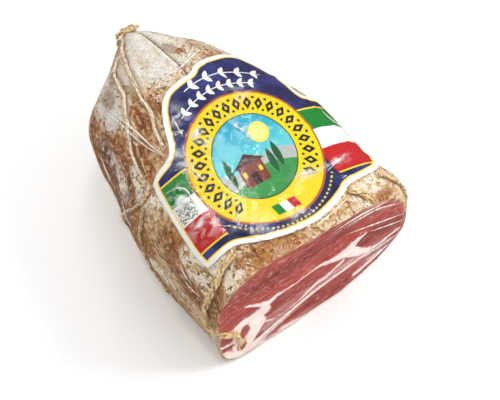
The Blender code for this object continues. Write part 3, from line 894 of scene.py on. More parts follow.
LEAN_SPOTS = (                  # (y, z, reach across, reach up) of lean inside the fat
    (-48, 33, 1.8, 7.5), (-58, 40, 4.5, 4.5), (-50, 19, 3.2, 6.0), (-60, 28, 5.0, 3.0),
    (-43, 53.5, 3.6, 1.7), (-29, 5.5, 4.2, 1.5),
)
PAINTED_SHEEN_PLACES = (                       # (y, z, reach across, reach up, strength) of pale streaks, a painted sheen of the film
    (-30, 24, 16, 4.5, 0.9), (-8, 33, 22, 4, 0.8), (18, 36, 20, 4, 0.9), (44, 28, 18, 7, 0.55),
    (-50, 2, 18, 8, 0.7), (46, 86, 16, 4, 0.9), (61, 64, 3, 20, 0.6), (52, 74, 12, 3, 0.5),
    (-14, 6, 16, 3, 0.5),
)
MUSCLES = (                     # (y, z, reach across, reach up, dark, bright)
    (-20, 84, 60, 9, 0.8, 0.0), (44, 49, 22, 8, 1.0, 0.0), (-8, 64, 40, 8, 0.0, 0.7),
    (2, 13, 30, 8, 0.55, 0.7), (-24, 42, 22, 8, 0.35, 0.1), (-34, 23, 14, 6, 0.9, 0.0),
    (30, 68, 26, 8, 0.0, 0.9), (46, 24, 14, 9, 0.9, 0.0), (56, 28, 8, 10, 1.0, 0.0),
    (-55, 36, 10, 10, 0.5, 0.2),
)
print("seams:", len(SEAMS), "and muscles:", len(MUSCLES))


# %% Distances and tones on the cut
def to_seams(y, z):
    """Return how far a place on the cut is outside the nearest seam, negative inside it."""
    nearest = np.full(np.shape(y), 50.0)
    for seam in SEAMS:
        for (y0, z0, w0), (y1, z1, w1) in zip(seam, seam[1:]):
            ay, az = y1 - y0, z1 - z0
            share = np.clip(((y - y0) * ay + (z - z0) * az) / (ay * ay + az * az), 0, 1)
            away = np.hypot(y - y0 - share * ay, z - z0 - share * az)
            nearest = np.minimum(nearest, away - (w0 + share * (w1 - w0)))
    for y0, z0, across, up in LEAN_SPOTS:
        away = (np.hypot((y - y0) / across, (z - z0) / up) - 1) * min(across, up)
        nearest = np.maximum(nearest, -away)
    return nearest


def tone_of(y, z, places):
    """Return how strong a tone is at a place on the cut, where places are rows as in PAINTED_SHEEN_PLACES."""
    total = np.zeros(np.shape(y))
    for y0, z0, across, up, strength in places:
        away = ((y - y0) / across) ** 2 + ((z - z0) / up) ** 2
        total = np.maximum(total, strength * np.exp(-away))
    return total


dark_places = [muscle[:5] for muscle in MUSCLES]
bright_places = [muscle[:4] + muscle[5:] for muscle in MUSCLES]
print("the middle of the cut is", round(float(to_seams(0.0, 50.0)), 1), "mm from fat")

# %% Rings of the cut face
FACE_RINGS = 120
FAT_RISE, SWELL, GRAIN_RISE, RIM_FALL = 0.22, 0.10, 0.16, 0.35       # mm
share = (1 - np.arange(FACE_RINGS) / FACE_RINGS)[:, None, None]
face_rim = inner_ring(0.45, 0.0)
face_middle = face_rim.mean(axis=0)
face_grid = face_middle + (face_rim - face_middle) * share
face_y, face_z = face_grid[..., 1], face_grid[..., 2]
seam_gap = to_seams(face_y, face_z)
flat_points = np.stack([np.zeros_like(face_y), face_y, face_z], -1)
grain_points = flat_points * (1.0, 0.10, 0.9)
fat_rise = FAT_RISE * ease(-seam_gap, -0.6, 0.6) + SWELL * cloud(flat_points, 5.0, 11)
grain_rise = GRAIN_RISE * cloud(grain_points, 1.3, 12) * ease(seam_gap, -0.5, 1.0)
rim_fall = ease(share[..., 0], 0.965, 1.0) * RIM_FALL
face_grid[..., 0] = cut_face_x(face_y, face_z) + fat_rise + grain_rise - rim_fall
back_rings = [inner_ring(0.9, 1.6), inner_ring(0.5, 0.9)]
face_full = np.concatenate([back_rings, face_grid])
face_pole = np.array((float(cut_face_x(*face_middle[1:])), *face_middle[1:]))
face_mesh = ring_mesh("cut_face", face_full, [back_rings[0].mean(axis=0), face_pole])
rim_gap = (1 - share[..., 0]) * np.linalg.norm(face_rim - face_middle, axis=1)
curled_in = bell(face_y + 34.0, 16.0) * bell(face_z - FLOOR_GAP, 4.0)      # casing under the lower rim
rim_gap = rim_gap - 2.2 * curled_in
for name, values in (("seam_gap", seam_gap), ("rim_gap", rim_gap), ("painted_sheen", tone_of(face_y, face_z, PAINTED_SHEEN_PLACES)),
                     ("dark", tone_of(face_y, face_z, dark_places)),
                     ("bright", tone_of(face_y, face_z, bright_places))):
    store(face_mesh, name, np.pad(values, ((len(back_rings), 0), (0, 0)), "edge"))
print("fat covers", round(float((seam_gap < 0).mean()) * 100), "% of the face's points")

# %% Fibres, fat and marks of the cut
face_material, tree, shader = new_material("cured_meat_cut")
place = place_on_piece(tree)
along_fibres = place_on_piece(tree, (1.0, 0.07, 0.75))
gap = attribute(tree, "seam_gap")
ragged = (mottle(tree, place, 2.2, 3.0, 0.65) - 0.5) * 3.4
frayed = (mottle(tree, along_fibres, 0.9, 2.0) - 0.5) * 1.6
torn = gap + ragged + frayed
fat = torn.ramp(-0.35, 0.45, 1.0, 0.0)
dark, bright, painted_sheen = (attribute(tree, name) for name in ("dark", "bright", "painted_sheen"))
grain = mottle(tree, along_fibres, 0.8, 4.0, 0.65)
grained = grain.ramp(0.3, 0.7)
cloudy = mottle(tree, place, 6.0, 3.0, 0.6)
streaks = mottle(tree, place_on_piece(tree, (1.0, 0.045, 1.1)), 0.6, 2.0, 0.5).ramp(0.60, 0.70)
marbling = flecks(tree, place_on_piece(tree, (1.0, 0.4, 1.0)), 1.4, 0.36, 0.04)
sheen_streaks = mottle(tree, place_on_piece(tree, (1.0, 0.06, 1.0)), 1.2, 3.0, 0.6).ramp(0.34, 0.60)
print("meat tree starts with", len(tree.nodes), "nodes")

# %% Lean, fat and dried rim
LEAN = paint(146, 52, 48), paint(202, 98, 86)
BRICK = paint(150, 38, 32), paint(212, 84, 70)
PURPLE = paint(104, 32, 32), paint(150, 62, 58)
FAT = paint(250, 218, 211), paint(255, 243, 237)
DRIED = paint(150, 98, 64), paint(222, 190, 146)
lean = layered(tree, cover(tree, grain.ramp(0.25, 0.75), *LEAN), (
    (bright * 0.75, cover(tree, grained, *BRICK)),
    (dark * cloudy.ramp(0.2, 0.6) * 0.85, cover(tree, grained, *PURPLE)),
    (streaks * 0.35, paint(228, 160, 148)),
    (marbling * 0.55, paint(236, 192, 182)),
    # painted sheen: pale streaks where the film over the cut catches the light
    (painted_sheen * sheen_streaks * 0.8, paint(238, 206, 204)),
))
fat_colour = cover(tree, cloudy.ramp(0.3, 0.7), *FAT)
fat_colour = cover(tree, torn.ramp(-1.2, 0.2, 0.0, 0.35), fat_colour, paint(228, 160, 150))
colour = cover(tree, fat, lean, fat_colour)
dried = attribute(tree, "rim_gap") + (cloudy - 0.5) * 2.0
dried_colour = cover(tree, cloudy.ramp(0.4, 0.6), *DRIED)
colour = cover(tree, dried.ramp(0.4, 1.7, 0.8, 0.0), colour, dried_colour)
tree.links.new(colour, shader.inputs["Base Color"])
feed(tree, shader.inputs["Roughness"], fat.ramp(0.0, 1.0, 0.42, 0.5))
shader.inputs["Specular IOR Level"].default_value = 0.2
tree.links.new(bump(tree, grain * 0.5 + fat * 0.6, 0.35, 0.6), shader.inputs["Normal"])
cut_face = new_piece("cut_face", face_mesh, face_material)

# %% [markdown]
# ## The label
# A die-cut sheet of glossy paper, printed and laid on the crown, where it bends with the meat and
# creases over what lies below.  It could be cut out of a grid with a Boolean, but then its rim is
# ragged.  Here the outline is shrunk in rings onto its middle and every point is draped on the skin.
# Three numbers are stored: right and up on the print, and how far the rim is.

# %% Sizes of the label
LABEL_LIFT = 0.7
LABEL_THICKNESS = 0.4
LABEL_STATION = 0.677
LABEL_ARC = 3.8
LABEL_RIGHT = (0.952, 0.049)
LABEL_UP = (0.182, -1.058)
LABEL_OUTLINE = (               # (right, up) on the print, from its top round to the right
    (0, 65), (12, 66.5), (25, 66.7), (35, 64), (42, 57), (45, 48), (46.5, 36), (47, 25), (51, 21),
    (62, 20.5), (68.5, 15), (71, 3), (71, -12), (69.5, -24), (66, -30), (60, -34), (50, -35.5),
    (35, -37), (31.5, -39.5), (22, -43.5), (9, -47), (-8, -46.5), (-25, -42.8), (-36, -37),
    (-40, -36.4), (-55, -37.0), (-57.5, -36.5), (-57.6, -20), (-58.6, 12), (-57, 18), (-52, 20.8),
    (-43, 22.5), (-39, 27), (-35, 40), (-31, 50), (-24, 57.5), (-13, 60), (-5, 60.5),
)
LABEL_RINGS = 90
LABEL_SIDES = 420
PAPER_CREASES = (               # (start, end, height, half the width), with places on the print
    ((-58, 17), (-40, 14), 0.9, 1.0), ((-46, 24), (-34, 16), 0.8, 0.9), ((8, 62), (12, 34), 0.6, 1.5),
    ((-38, 22), (-22, 33), 0.7, 1.0), ((-50, 6), (-42, -14), 0.6, 1.2), ((4, -34), (-4, -47), 0.9, 1.2),
    ((-4, 10), (14, 4), 0.4, 1.2), ((-6, 26), (8, 14), 0.45, 1.0), ((34, 4), (48, -2), 0.6, 1.6),
    ((-33, -27), (-24, -42), 1.1, 1.6), ((-33, -27), (-52, -33), 0.4, 1.6), ((26, -25), (40, -33), 0.8, 1.5),
    ((-47, 5), (-36, -3), 0.7, 1.2), ((20, 44), (44, 40), 0.5, 1.6), ((-37, 36), (-24, 30), 0.5, 1.6),
    ((50, 18), (60, -10), 0.5, 1.8), ((54, -8), (66, -24), 0.7, 1.6), ((-20, -36), (4, -42), 0.4, 1.6),
    ((-30, 24), (-36, 2), 0.4, 1.4),
)
COCKLES = ((13.0, 0.35), (5.0, 0.12))    # (size, height) of the paper's soft unevenness
label_width = max(u for u, v in LABEL_OUTLINE) - min(u for u, v in LABEL_OUTLINE)
print("label", label_width, "mm wide, with", len(PAPER_CREASES), "creases")


# %% Outline, place and creases of the label
def round_corners(loop, passes=2):
    """Cut the corners of a closed outline, which rounds them off."""
    for _ in range(passes):
        ahead = np.roll(loop, -1, axis=0)
        loop = np.stack([loop * 0.8 + ahead * 0.2, loop * 0.2 + ahead * 0.8], axis=1).reshape(-1, 2)
    return loop


def even_loop(loop, count):
    """Return count points at an even spacing round a closed outline."""
    closed = np.concatenate([loop, loop[:1]])
    travel = np.concatenate([[0.0], np.cumsum(np.linalg.norm(np.diff(closed, axis=0), axis=1))])
    even = np.linspace(0, travel[-1], count, endpoint=False)
    return np.stack([np.interp(even, travel, closed[:, k]) for k in range(2)], axis=-1)


def label_place(u, v):
    """Return station and girth of a place on the print, u right and v up from its middle."""
    station = LABEL_STATION + (u * LABEL_RIGHT[1] + v * LABEL_UP[1]) / LENGTH
    arc = LABEL_ARC + u * LABEL_RIGHT[0] + v * LABEL_UP[0]
    return station, arc / girth_length(station)


def to_segment(u, v, start, end):
    """Return the distance from each place to a straight line between two places."""
    step = np.subtract(end, start)
    share = np.clip(((u - start[0]) * step[0] + (v - start[1]) * step[1]) / (step @ step), 0, 1)
    return np.hypot(u - start[0] - share * step[0], v - start[1] - share * step[1])


def paper_rise(u, v):
    """Return how far the paper stands up from its plain drape: creases and soft cockles."""
    rise = np.zeros(np.shape(u))
    for start, end, height, width in PAPER_CREASES:
        rise = np.maximum(rise, height * bell(to_segment(u, v, start, end), width))
    flat = np.stack([u, v, np.zeros_like(u)], -1)
    (broad_size, broad_height), (small_size, small_height) = COCKLES
    broad_cockle = broad_height * (cloud(flat, broad_size, 21) + 1) * 0.5
    return rise + broad_cockle + small_height * cloud(flat, small_size, 22)


print("the print's middle lies at station and girth", [round(float(v), 3) for v in label_place(0.0, 0.0)])

# %% Rings of the label
label_rim = even_loop(round_corners(np.array(LABEL_OUTLINE, float)), LABEL_SIDES)
share = (1 - np.arange(LABEL_RINGS) / LABEL_RINGS)[:, None]
print_u = label_rim[:, 0] * share
print_v = label_rim[:, 1] * share
rim_distance = np.min([to_segment(print_u, print_v, a, b)
                       for a, b in zip(label_rim[::2], np.roll(label_rim[::2], -1, axis=0))], axis=0)
paper_station, paper_girth = label_place(print_u, print_v)
paper_base = skin(paper_station, paper_girth)
paper_normal = skin_normal(paper_station, paper_girth)
rise = paper_rise(print_u, print_v)[..., None]
paper_top = paper_base + paper_normal * (LABEL_LIFT + LABEL_THICKNESS + rise)
paper_under = paper_base + paper_normal * (LABEL_LIFT + rise)
middle_place = label_place(0.0, 0.0)
middle_rise = float(paper_rise(np.zeros(1), np.zeros(1))[0])
label_full = np.concatenate([paper_under[::-1], paper_top])
label_poles = [skin(*middle_place) + skin_normal(*middle_place) * (lift + middle_rise)
               for lift in (LABEL_LIFT, LABEL_LIFT + LABEL_THICKNESS)]
label_mesh = ring_mesh("label", label_full, label_poles)
for name, values in (("right", print_u), ("up", print_v), ("from_rim", rim_distance)):
    store(label_mesh, name, np.concatenate([values[::-1], values]))
store(label_mesh, "printed", np.concatenate([np.zeros_like(print_u), np.ones_like(print_u)]))
rim_length = float(np.linalg.norm(np.diff(label_rim, axis=0), axis=1).sum())
print("label rim", round(rim_length), "mm, its middle", round(float(rim_distance.max())), "mm from the rim")

# %% [markdown]
# ## The print
# The real print is navy, yellow and turquoise with tricolour wings.  Its words and its picture belong
# to a maker, so this one has its own: sprigs of leaves on the arch, lozenges and beads round the
# ring, and a farmhouse under a sun in the middle.  Every shape is arithmetic on right and up in
# millimetres, which stays sharp at any zoom and needs no image.

# %% Shapes on the print
label_material, tree, shader = new_material("printed_paper")
right = attribute(tree, "right")
up = attribute(tree, "up")
from_rim = attribute(tree, "from_rim")
EDGE_SOFT = 0.12


def inside(distance):
    """Return 1 where the distance is below zero, with a soft edge."""
    return distance.ramp(-EDGE_SOFT, EDGE_SOFT, 1.0, 0.0)


def disc(u, v, at_u, at_v, radius):
    """Return 1 inside a disc on the print."""
    away = (u - at_u).math("POWER", 2.0) + (v - at_v).math("POWER", 2.0)
    return inside(away.math("SQRT") - radius)


def band(value, low, high):
    """Return 1 between two values."""
    return inside((value - (low + high) / 2).math("ABSOLUTE") - (high - low) / 2)


def round_ring(angle, radius, count, turn=0.0):
    """Return right and up inside one of count equal places round a circle."""
    step = 2 * math.pi / count
    local = (angle + (turn + 20 * step)).math("MODULO", step) - step / 2
    return local * radius, local


def leaf(u, v, length, width):
    """Return 1 inside a pointed leaf that lies along v."""
    edge = (v * (1.0 / length)).math("POWER", 2.0) + (u * (1.0 / width)).math("ABSOLUTE")
    return inside((edge - 1.0) * width)


radius = (right * right + up * up).math("SQRT")
angle = up.math("ARCTAN2", right)
print("print tree starts with", len(tree.nodes), "nodes")

# %% Fields of colour on the print
NAVY = paint(30, 30, 76)
YELLOW = paint(230, 200, 10)
LINE_YELLOW = paint(248, 206, 40)
WHITE = paint(236, 236, 228)
GREEN = paint(16, 124, 44)
RED = paint(184, 22, 28)
TURQUOISE = paint(22, 158, 186)
ORANGE_BROWN = paint(176, 92, 40)
INK = paint(34, 28, 44)
MARGIN = 2.7
RING_OUT = 39.4
RING_IN = 24.0
WING_TOP, GREEN_END, RED_START, WING_BOTTOM = 12.4, -0.6, -12.4, -28.6

navy_shade = mottle(tree, place_on_piece(tree), 14.0, 3.0)
colour = cover(tree, navy_shade.ramp(0.4, 0.8), NAVY, paint(58, 66, 134))
wing_zone = inside(-(right.math("ABSOLUTE") - 36.0))
wing_bands = cover(tree, band(up, GREEN_END, WING_TOP), WHITE, GREEN)
wing_bands = cover(tree, band(up, WING_BOTTOM, RED_START), wing_bands, RED)
code_cells = tree.nodes.new("ShaderNodeTexVoronoi")
code_cells.distance = "CHEBYCHEV"
code_place = tree.nodes.new("ShaderNodeCombineXYZ")
feed(tree, code_place.inputs[0], right * 1.1)
feed(tree, code_place.inputs[1], up * 1.1)
tree.links.new(code_place.outputs[0], code_cells.inputs["Vector"])
code_cells.inputs["Scale"].default_value = 1.0
hatch = Reading(tree, code_cells.outputs["Distance"]).ramp(0.36, 0.42)
hatch_zone = band(right, -54.0, -42.5) * band(up, -11.6, -1.6)
wing_bands = cover(tree, hatch * hatch_zone * 0.8, wing_bands, paint(70, 70, 76))
wing_field = wing_zone * band(up, WING_BOTTOM, WING_TOP)
colour = cover(tree, wing_field, colour, wing_bands)
wing_lines = band(up, WING_TOP - 0.1, WING_TOP + 0.8).most(band(up, WING_BOTTOM - 0.8, WING_BOTTOM + 0.1))
colour = cover(tree, wing_lines * wing_zone, colour, LINE_YELLOW)
print("print tree has", len(tree.nodes), "nodes")

# %% Leaves on the arch, dots on the foot
SPRIGS = (                      # (radius, places round it, leaf length, leaf width, first, last angle)
    (54.2, 34, 3.4, 1.4, 0.98, 1.86),
    (45.6, 44, 2.8, 1.2, 0.93, 2.2),
)
LEAN_COS, LEAN_SIN = 0.82, 0.57          # of the angle between a leaf and its stem
arch = inside(-(up - 14.0))
for ring_radius, count, length, width, first, last in SPRIGS:
    leaf_u, local = round_ring(angle, ring_radius, count)
    out = radius - ring_radius
    own_angle = angle - local
    whole = own_angle.math("GREATER_THAN", first) * own_angle.math("LESS_THAN", last)
    for side in (-1.0, 1.0):
        tilt_u = leaf_u * LEAN_COS + out * (LEAN_SIN * side)
        tilt_v = out * LEAN_COS - leaf_u * (LEAN_SIN * side) - side * length * 0.55
        colour = cover(tree, leaf(tilt_u, tilt_v, length, width) * whole * arch, colour, WHITE)
    colour = cover(tree, band(out, -0.3, 0.3) * whole * arch, colour, WHITE)
foot = band(radius, 41.8, 42.9) * inside(up + 26.0)
dots = angle.math("MULTIPLY", 96.0).math("SINE").ramp(-0.2, 0.1)
colour = cover(tree, foot * dots * 0.85, colour, paint(224, 204, 96))
print("print tree has", len(tree.nodes), "nodes")

# %% The ring and its beads
MOTIFS = 30                    # round the ring, but for its foot, where the flag lies
LOZENGE_RADIUS = 31.2
BEAD_RADII, BEAD = (27.4, 35.0), 0.85
FOOT_ANGLE = 1.57


def off_foot(own_angle, half_gap):
    """Return 1 for the motifs whose own angle is more than half_gap away from the foot."""
    return (own_angle + FOOT_ANGLE).math("ABSOLUTE").math("GREATER_THAN", half_gap)


def lozenge(u, v, size):
    """Return 1 inside a tall lozenge."""
    return inside((u * 0.62).math("ABSOLUTE") + (v * 0.36).math("ABSOLUTE") - size)


colour = cover(tree, inside(radius - RING_OUT), colour, ORANGE_BROWN)
colour = cover(tree, inside(radius - (RING_OUT - 1.25)), colour, YELLOW)
lozenge_u, local = round_ring(angle, LOZENGE_RADIUS, MOTIFS)
lozenge_v = radius - LOZENGE_RADIUS
shown = off_foot(angle - local, 0.73)
for size, ink in ((1.55, INK), (0.5, YELLOW)):
    colour = cover(tree, lozenge(lozenge_u, lozenge_v, size) * shown, colour, ink)
bead_u, local = round_ring(angle, LOZENGE_RADIUS, MOTIFS, math.pi / MOTIFS)
shown = off_foot(angle - local, 0.83)
for bead_radius in BEAD_RADII:
    bead = inside((bead_u * bead_u + (radius - bead_radius).math("POWER", 2.0)).math("SQRT") - BEAD)
    colour = cover(tree, bead * shown, colour, INK)
flag_u = right * 0.996 + up * 0.05
flag_zone = band(flag_u, -9.6, 4.6) * band(up + right * 0.04, -35.0, -28.8)
flag_colour = cover(tree, inside(flag_u + 4.9), WHITE, GREEN)
flag_colour = cover(tree, inside(-(flag_u + 0.1)), flag_colour, RED)
colour = cover(tree, flag_zone, colour, flag_colour)
print("print tree has", len(tree.nodes), "nodes")

# %% The farmhouse in the middle
SUN = (9.0, 10.5)
WINDOWS = (-10.6, -0.6)
CYPRESSES = ((-17.5, -12.0, 6.5), (7.5, -14.0, 1.0), (12.0, -12.0, 3.5))    # (right, foot, top)
ripple = mottle(tree, place_on_piece(tree), 4.0, 4.0)
far_hill = up - (right * 0.16).math("SINE") * 2.6 + 3.0
near_hill = up - (right * 0.11 + 1.2).math("SINE") * 3.4 + 10.0
grass = cover(tree, ripple, paint(26, 112, 60), paint(70, 160, 80))
brick = cover(tree, ripple, paint(104, 44, 36), paint(132, 62, 48))
roof = inside((right + 5.5).math("ABSOLUTE") * 0.62 + up - 3.6) * inside(-(up + 2.6))
view = [
    (ripple.ramp(0.5, 0.7) * 0.5, paint(150, 216, 214)),
    (disc(right, up, *SUN, 6.0), paint(246, 214, 84)),
    (disc(right, up, *SUN, 4.4), paint(250, 232, 130)),
    (inside(far_hill), paint(168, 176, 170)),
    (inside(near_hill), grass),
    (band(right, -13.0, 2.0) * band(up, -14.5, -2.0), brick),
    (roof, paint(74, 30, 30)),
    (band(right, -7.6, -3.6) * band(up, -14.5, -8.0), paint(48, 24, 24)),
]
view += [(band(right, at - 1.0, at + 1.0) * band(up, -8.6, -5.6), YELLOW) for at in WINDOWS]
view += [(leaf(right - at, up - (foot + top) / 2, (top - foot) / 2, 2.0), paint(22, 84, 50))
         for at, foot, top in CYPRESSES]
picture = layered(tree, cover(tree, up.ramp(-8.0, 20.0), paint(96, 196, 200), TURQUOISE), view)
colour = cover(tree, inside(radius - (RING_IN + 0.35)), colour, INK)
colour = cover(tree, inside(radius - (RING_IN - 0.25)), colour, picture)
print("print tree has", len(tree.nodes), "nodes")

# %% Margin, gloss and paper
colour = cover(tree, inside(from_rim - (MARGIN + 0.8)), colour, LINE_YELLOW)
colour = cover(tree, inside(from_rim - MARGIN), colour, WHITE)
colour = cover(tree, attribute(tree, "printed"), paint(236, 234, 226), colour)
fibre = mottle(tree, place_on_piece(tree), 0.7, 3.0)
colour = cover(tree, fibre.ramp(0.2, 0.8, 0.06, 0.0), colour, paint(120, 116, 110))
tree.links.new(colour, shader.inputs["Base Color"])
feed(tree, shader.inputs["Roughness"], fibre.ramp(0.2, 0.8, 0.24, 0.34))
shader.inputs["Specular IOR Level"].default_value = 0.3
cockle = mottle(tree, place_on_piece(tree), 4.5, 3.0, 0.5)
tree.links.new(bump(tree, cockle, 0.5, 0.5), shader.inputs["Normal"])
label = new_piece("printed_label", label_mesh, label_material)

# %% [markdown]
# ## The twine
# The twine is a loose bundle of hemp stalks, pale with mould near the tip and straw gold by the cut.
# A textured tube would look like wire, so each strand becomes a few stalks that wander about its run.
# A Geometry Nodes tree makes them real: it resamples each line, copies it once for each ply, winds
# the copies round the line and gives them a round profile.  A second branch scatters bent fibres.

# %% Geometry Nodes helpers
def add(tree, kind, inputs=None, **settings):
    """Add a node, set its properties and feed its inputs by name."""
    node = tree.nodes.new(kind)
    for name, value in settings.items():
        setattr(node, name, value)
    for name, value in (inputs or {}).items():
        feed(tree, node.inputs[name], value)
    return node


def vector(tree, operation, *values, scale=None):
    """Add a Vector Math node and return its result."""
    node = add(tree, "ShaderNodeVectorMath", operation=operation)
    for slot, value in zip(node.inputs, values):
        feed(tree, slot, value)
    if scale is not None:
        feed(tree, node.inputs["Scale"], scale)
    return node.outputs[0]


def start_tree(name, sizes, counts=()):
    """Start a tree that takes routes.  Return it, its inputs and the routes as even curves."""
    tree = bpy.data.node_groups.new(name, "GeometryNodeTree")
    socket = tree.interface.new_socket
    socket("Geometry", in_out="INPUT", socket_type="NodeSocketGeometry")
    for kind, rows in (("NodeSocketFloat", sizes), ("NodeSocketInt", counts)):
        for label, value in rows:
            socket(label, in_out="INPUT", socket_type=kind).default_value = value
    socket("Geometry", in_out="OUTPUT", socket_type="NodeSocketGeometry")
    entry = add(tree, "NodeGroupInput").outputs
    line = add(tree, "GeometryNodeMeshToCurve", {"Mesh": entry["Geometry"]}).outputs["Curve"]
    even = add(tree, "GeometryNodeResampleCurve", {"Curve": line, "Length": entry["Step"]}, mode="LENGTH")
    return tree, entry, even.outputs["Curve"]


def round_profile(tree, radius, corners):
    """Return a small circle to sweep along a curve."""
    inputs = {"Radius": radius, "Resolution": corners}
    return add(tree, "GeometryNodeCurvePrimitiveCircle", inputs, mode="RADIUS").outputs["Curve"]


def end_tree(tree, material, *parts):
    """Close a tree: join its parts, make the instances real and give them the material."""
    both = add(tree, "GeometryNodeJoinGeometry")
    for part in parts:
        feed(tree, both.inputs["Geometry"], part)
    real = add(tree, "GeometryNodeRealizeInstances", {"Geometry": both.outputs["Geometry"]})
    inputs = {"Geometry": real.outputs["Geometry"], "Material": material}
    dressed = add(tree, "GeometryNodeSetMaterial", inputs)
    add(tree, "NodeGroupOutput", {"Geometry": dressed.outputs["Geometry"]})
    return tree


print("Geometry Nodes helpers ready")

# %% Tree of the twine
PLY_SWING, PLY_RADIUS = 0.25, 0.27       # of the twine's thickness
PLY_CORNERS = 5
FIBRE_STRETCH = 0.002          # metres of a stalk that carry the number of fibres given


def wound_plies(tree, entry, curve):
    """Copy each line once for each ply, wind the copies round it and give them a round profile."""
    thickness = Reading(tree, entry["Thickness"])
    copies = add(tree, "GeometryNodeDuplicateElements", {"Geometry": curve, "Amount": entry["Plies"]},
                 domain="SPLINE")
    length = Reading(tree, add(tree, "GeometryNodeSplineParameter").outputs["Length"])
    own_share = Reading(tree, copies.outputs["Duplicate Index"]).math("DIVIDE", entry["Plies"])
    phase = (length.math("DIVIDE", entry["Turn Length"]) + own_share) * (2 * math.pi)
    normal = add(tree, "GeometryNodeInputNormal").outputs["Normal"]
    tangent = add(tree, "GeometryNodeInputTangent").outputs["Tangent"]
    side = vector(tree, "CROSS_PRODUCT", tangent, normal)
    swing = thickness * PLY_SWING
    out = vector(tree, "SCALE", normal, scale=phase.math("COSINE") * swing)
    over = vector(tree, "SCALE", side, scale=phase.math("SINE") * swing)
    inputs = {"Geometry": copies.outputs["Geometry"], "Offset": vector(tree, "ADD", out, over)}
    wound = add(tree, "GeometryNodeSetPosition", inputs)
    swell = Reading(tree, add(tree, "ShaderNodeTexNoise", {"Scale": 350.0}).outputs["Fac"])
    profile = round_profile(tree, thickness * PLY_RADIUS, PLY_CORNERS)
    inputs = {"Curve": wound.outputs["Geometry"], "Profile Curve": profile, "Scale": swell * 1.6 + 0.2,
              "Fill Caps": True}
    return add(tree, "GeometryNodeCurveToMesh", inputs).outputs["Mesh"]


def loose_fibres(tree, entry, curve):
    """Scatter bent fibres along each line, turned and sized by chance."""
    spacing = Reading(tree, entry["Fibres"]).math("POWER", -1.0) * FIBRE_STRETCH
    spots = add(tree, "GeometryNodeCurveToPoints", {"Curve": curve, "Length": spacing}, mode="LENGTH")
    bend = {"Resolution": 4, "Start": (0.0, 0.0, 0.0), "Middle": (0.35, 0.1, 0.45), "End": (1.0, 0.25, 0.35)}
    hair = add(tree, "GeometryNodeCurveQuadraticBezier", bend).outputs["Curve"]
    inputs = {"Curve": hair, "Profile Curve": round_profile(tree, 0.035, 3)}
    fibre = add(tree, "GeometryNodeCurveToMesh", inputs).outputs["Mesh"]
    inputs = {"Min": (-0.5, -0.6, 0.0), "Max": (0.5, 0.6, 6.283), "Seed": entry["Seed"]}
    turn = add(tree, "FunctionNodeRandomValue", inputs, data_type="FLOAT_VECTOR")
    size = add(tree, "FunctionNodeRandomValue", {"Seed": entry["Seed"]}, data_type="FLOAT")
    size.inputs[2].default_value = 0.4
    size.inputs[3].default_value = 1.0
    length = Reading(tree, size.outputs[1]) * entry["Fibre Length"]
    inputs = {"Points": spots.outputs["Points"], "Instance": fibre, "Rotation": turn.outputs["Value"],
              "Scale": length}
    return add(tree, "GeometryNodeInstanceOnPoints", inputs).outputs["Instances"]


def twine_tree(material):
    """Build the tree: plies wound round each stalk, with loose fibres."""
    sizes = (("Thickness", 0.0024), ("Turn Length", 0.007), ("Step", 0.0008), ("Fibre Length", 0.002))
    tree, entry, curve = start_tree("wind_twine", sizes, (("Plies", 3), ("Fibres", 2), ("Seed", 7)))
    return end_tree(tree, material, wound_plies(tree, entry, curve), loose_fibres(tree, entry, curve))


print("a ply swings out", PLY_SWING, "of the thickness")


# %% From routes to a finished piece
def lines_mesh(name, routes):
    """Return a mesh of open chains of edges, in metres, for a tree to turn into curves."""
    points, edges = [], []
    for route in routes:
        start = len(points)
        points += (np.asarray(route) * MM).tolist()
        edges += [(start + i, start + i + 1) for i in range(len(route) - 1)]
    mesh = bpy.data.meshes.new(name)
    mesh.from_pydata(points, edges, [])
    return mesh


def grown(name, tree, material, routes, **sizes):
    """Run a tree on some routes and return the result as a plain mesh piece."""
    host = bpy.data.objects.new(name + "_host", lines_mesh(name, routes))
    scene.collection.objects.link(host)
    modifier = host.modifiers.new("grow", "NODES")
    modifier.node_group = tree
    for item in tree.interface.items_tree:
        if item.in_out == "INPUT" and item.name in sizes:
            modifier[item.identifier] = sizes[item.name]
    result = bpy.data.meshes.new_from_object(host.evaluated_get(bpy.context.evaluated_depsgraph_get()))
    result.name = name
    host.modifiers.clear()
    bpy.data.objects.remove(host)
    result.materials.clear()
    result.shade_smooth()
    return new_piece(name, result, material)


print("trees can be grown")


# %% Twine materials
def hemp(name, *paints):
    """Make the material of twine from a dark and a light paint."""
    material, tree, shader = new_material(name)
    place = place_on_piece(tree)
    shade = mottle(tree, place, 1.6, 4.0, 0.7)
    fine = mottle(tree, place, 0.35, 3.0, 0.7)
    colour = cover(tree, shade.ramp(0.36, 0.64), *paints)
    colour = cover(tree, flecks(tree, place, 0.8, 0.36) * 0.6, colour, paint(108, 76, 46))
    tree.links.new(colour, shader.inputs["Base Color"])
    feed(tree, shader.inputs["Roughness"], fine.ramp(0.2, 0.8, 0.6, 0.85))
    shader.inputs["Specular IOR Level"].default_value = 0.2
    tree.links.new(bump(tree, fine, 0.15, 0.8), shader.inputs["Normal"])
    return material


gold_twine = hemp("hemp_twine", paint(160, 108, 50), paint(255, 238, 196))
pale_twine = hemp("mouldy_twine", paint(190, 158, 112), paint(246, 236, 216))
straw_twine = hemp("straw_twine", paint(200, 144, 62), paint(255, 244, 200))
print("twine materials:", [m.name for m in (gold_twine, pale_twine, straw_twine)])

# %% Laying a route on the casing
casing_tree = BVHTree.FromPolygons([tuple(p) for p in (casing_full.reshape(-1, 3) * MM)],
                                   [tuple(f.vertices) for f in casing_mesh.polygons if len(f.vertices) == 4])


def hug(route, clearance):
    """Move each point of a route so that it lies just off the casing."""
    laid = []
    for point in route:
        here = Vector(point) * MM
        nearest, normal, _, distance = casing_tree.find_nearest(here)
        outward = here - nearest
        if distance < 1e-6 or outward.dot(normal) < 0:
            outward = normal
        laid.append((nearest + outward.normalized() * clearance * MM) / MM)
    return np.array([tuple(p) for p in laid])


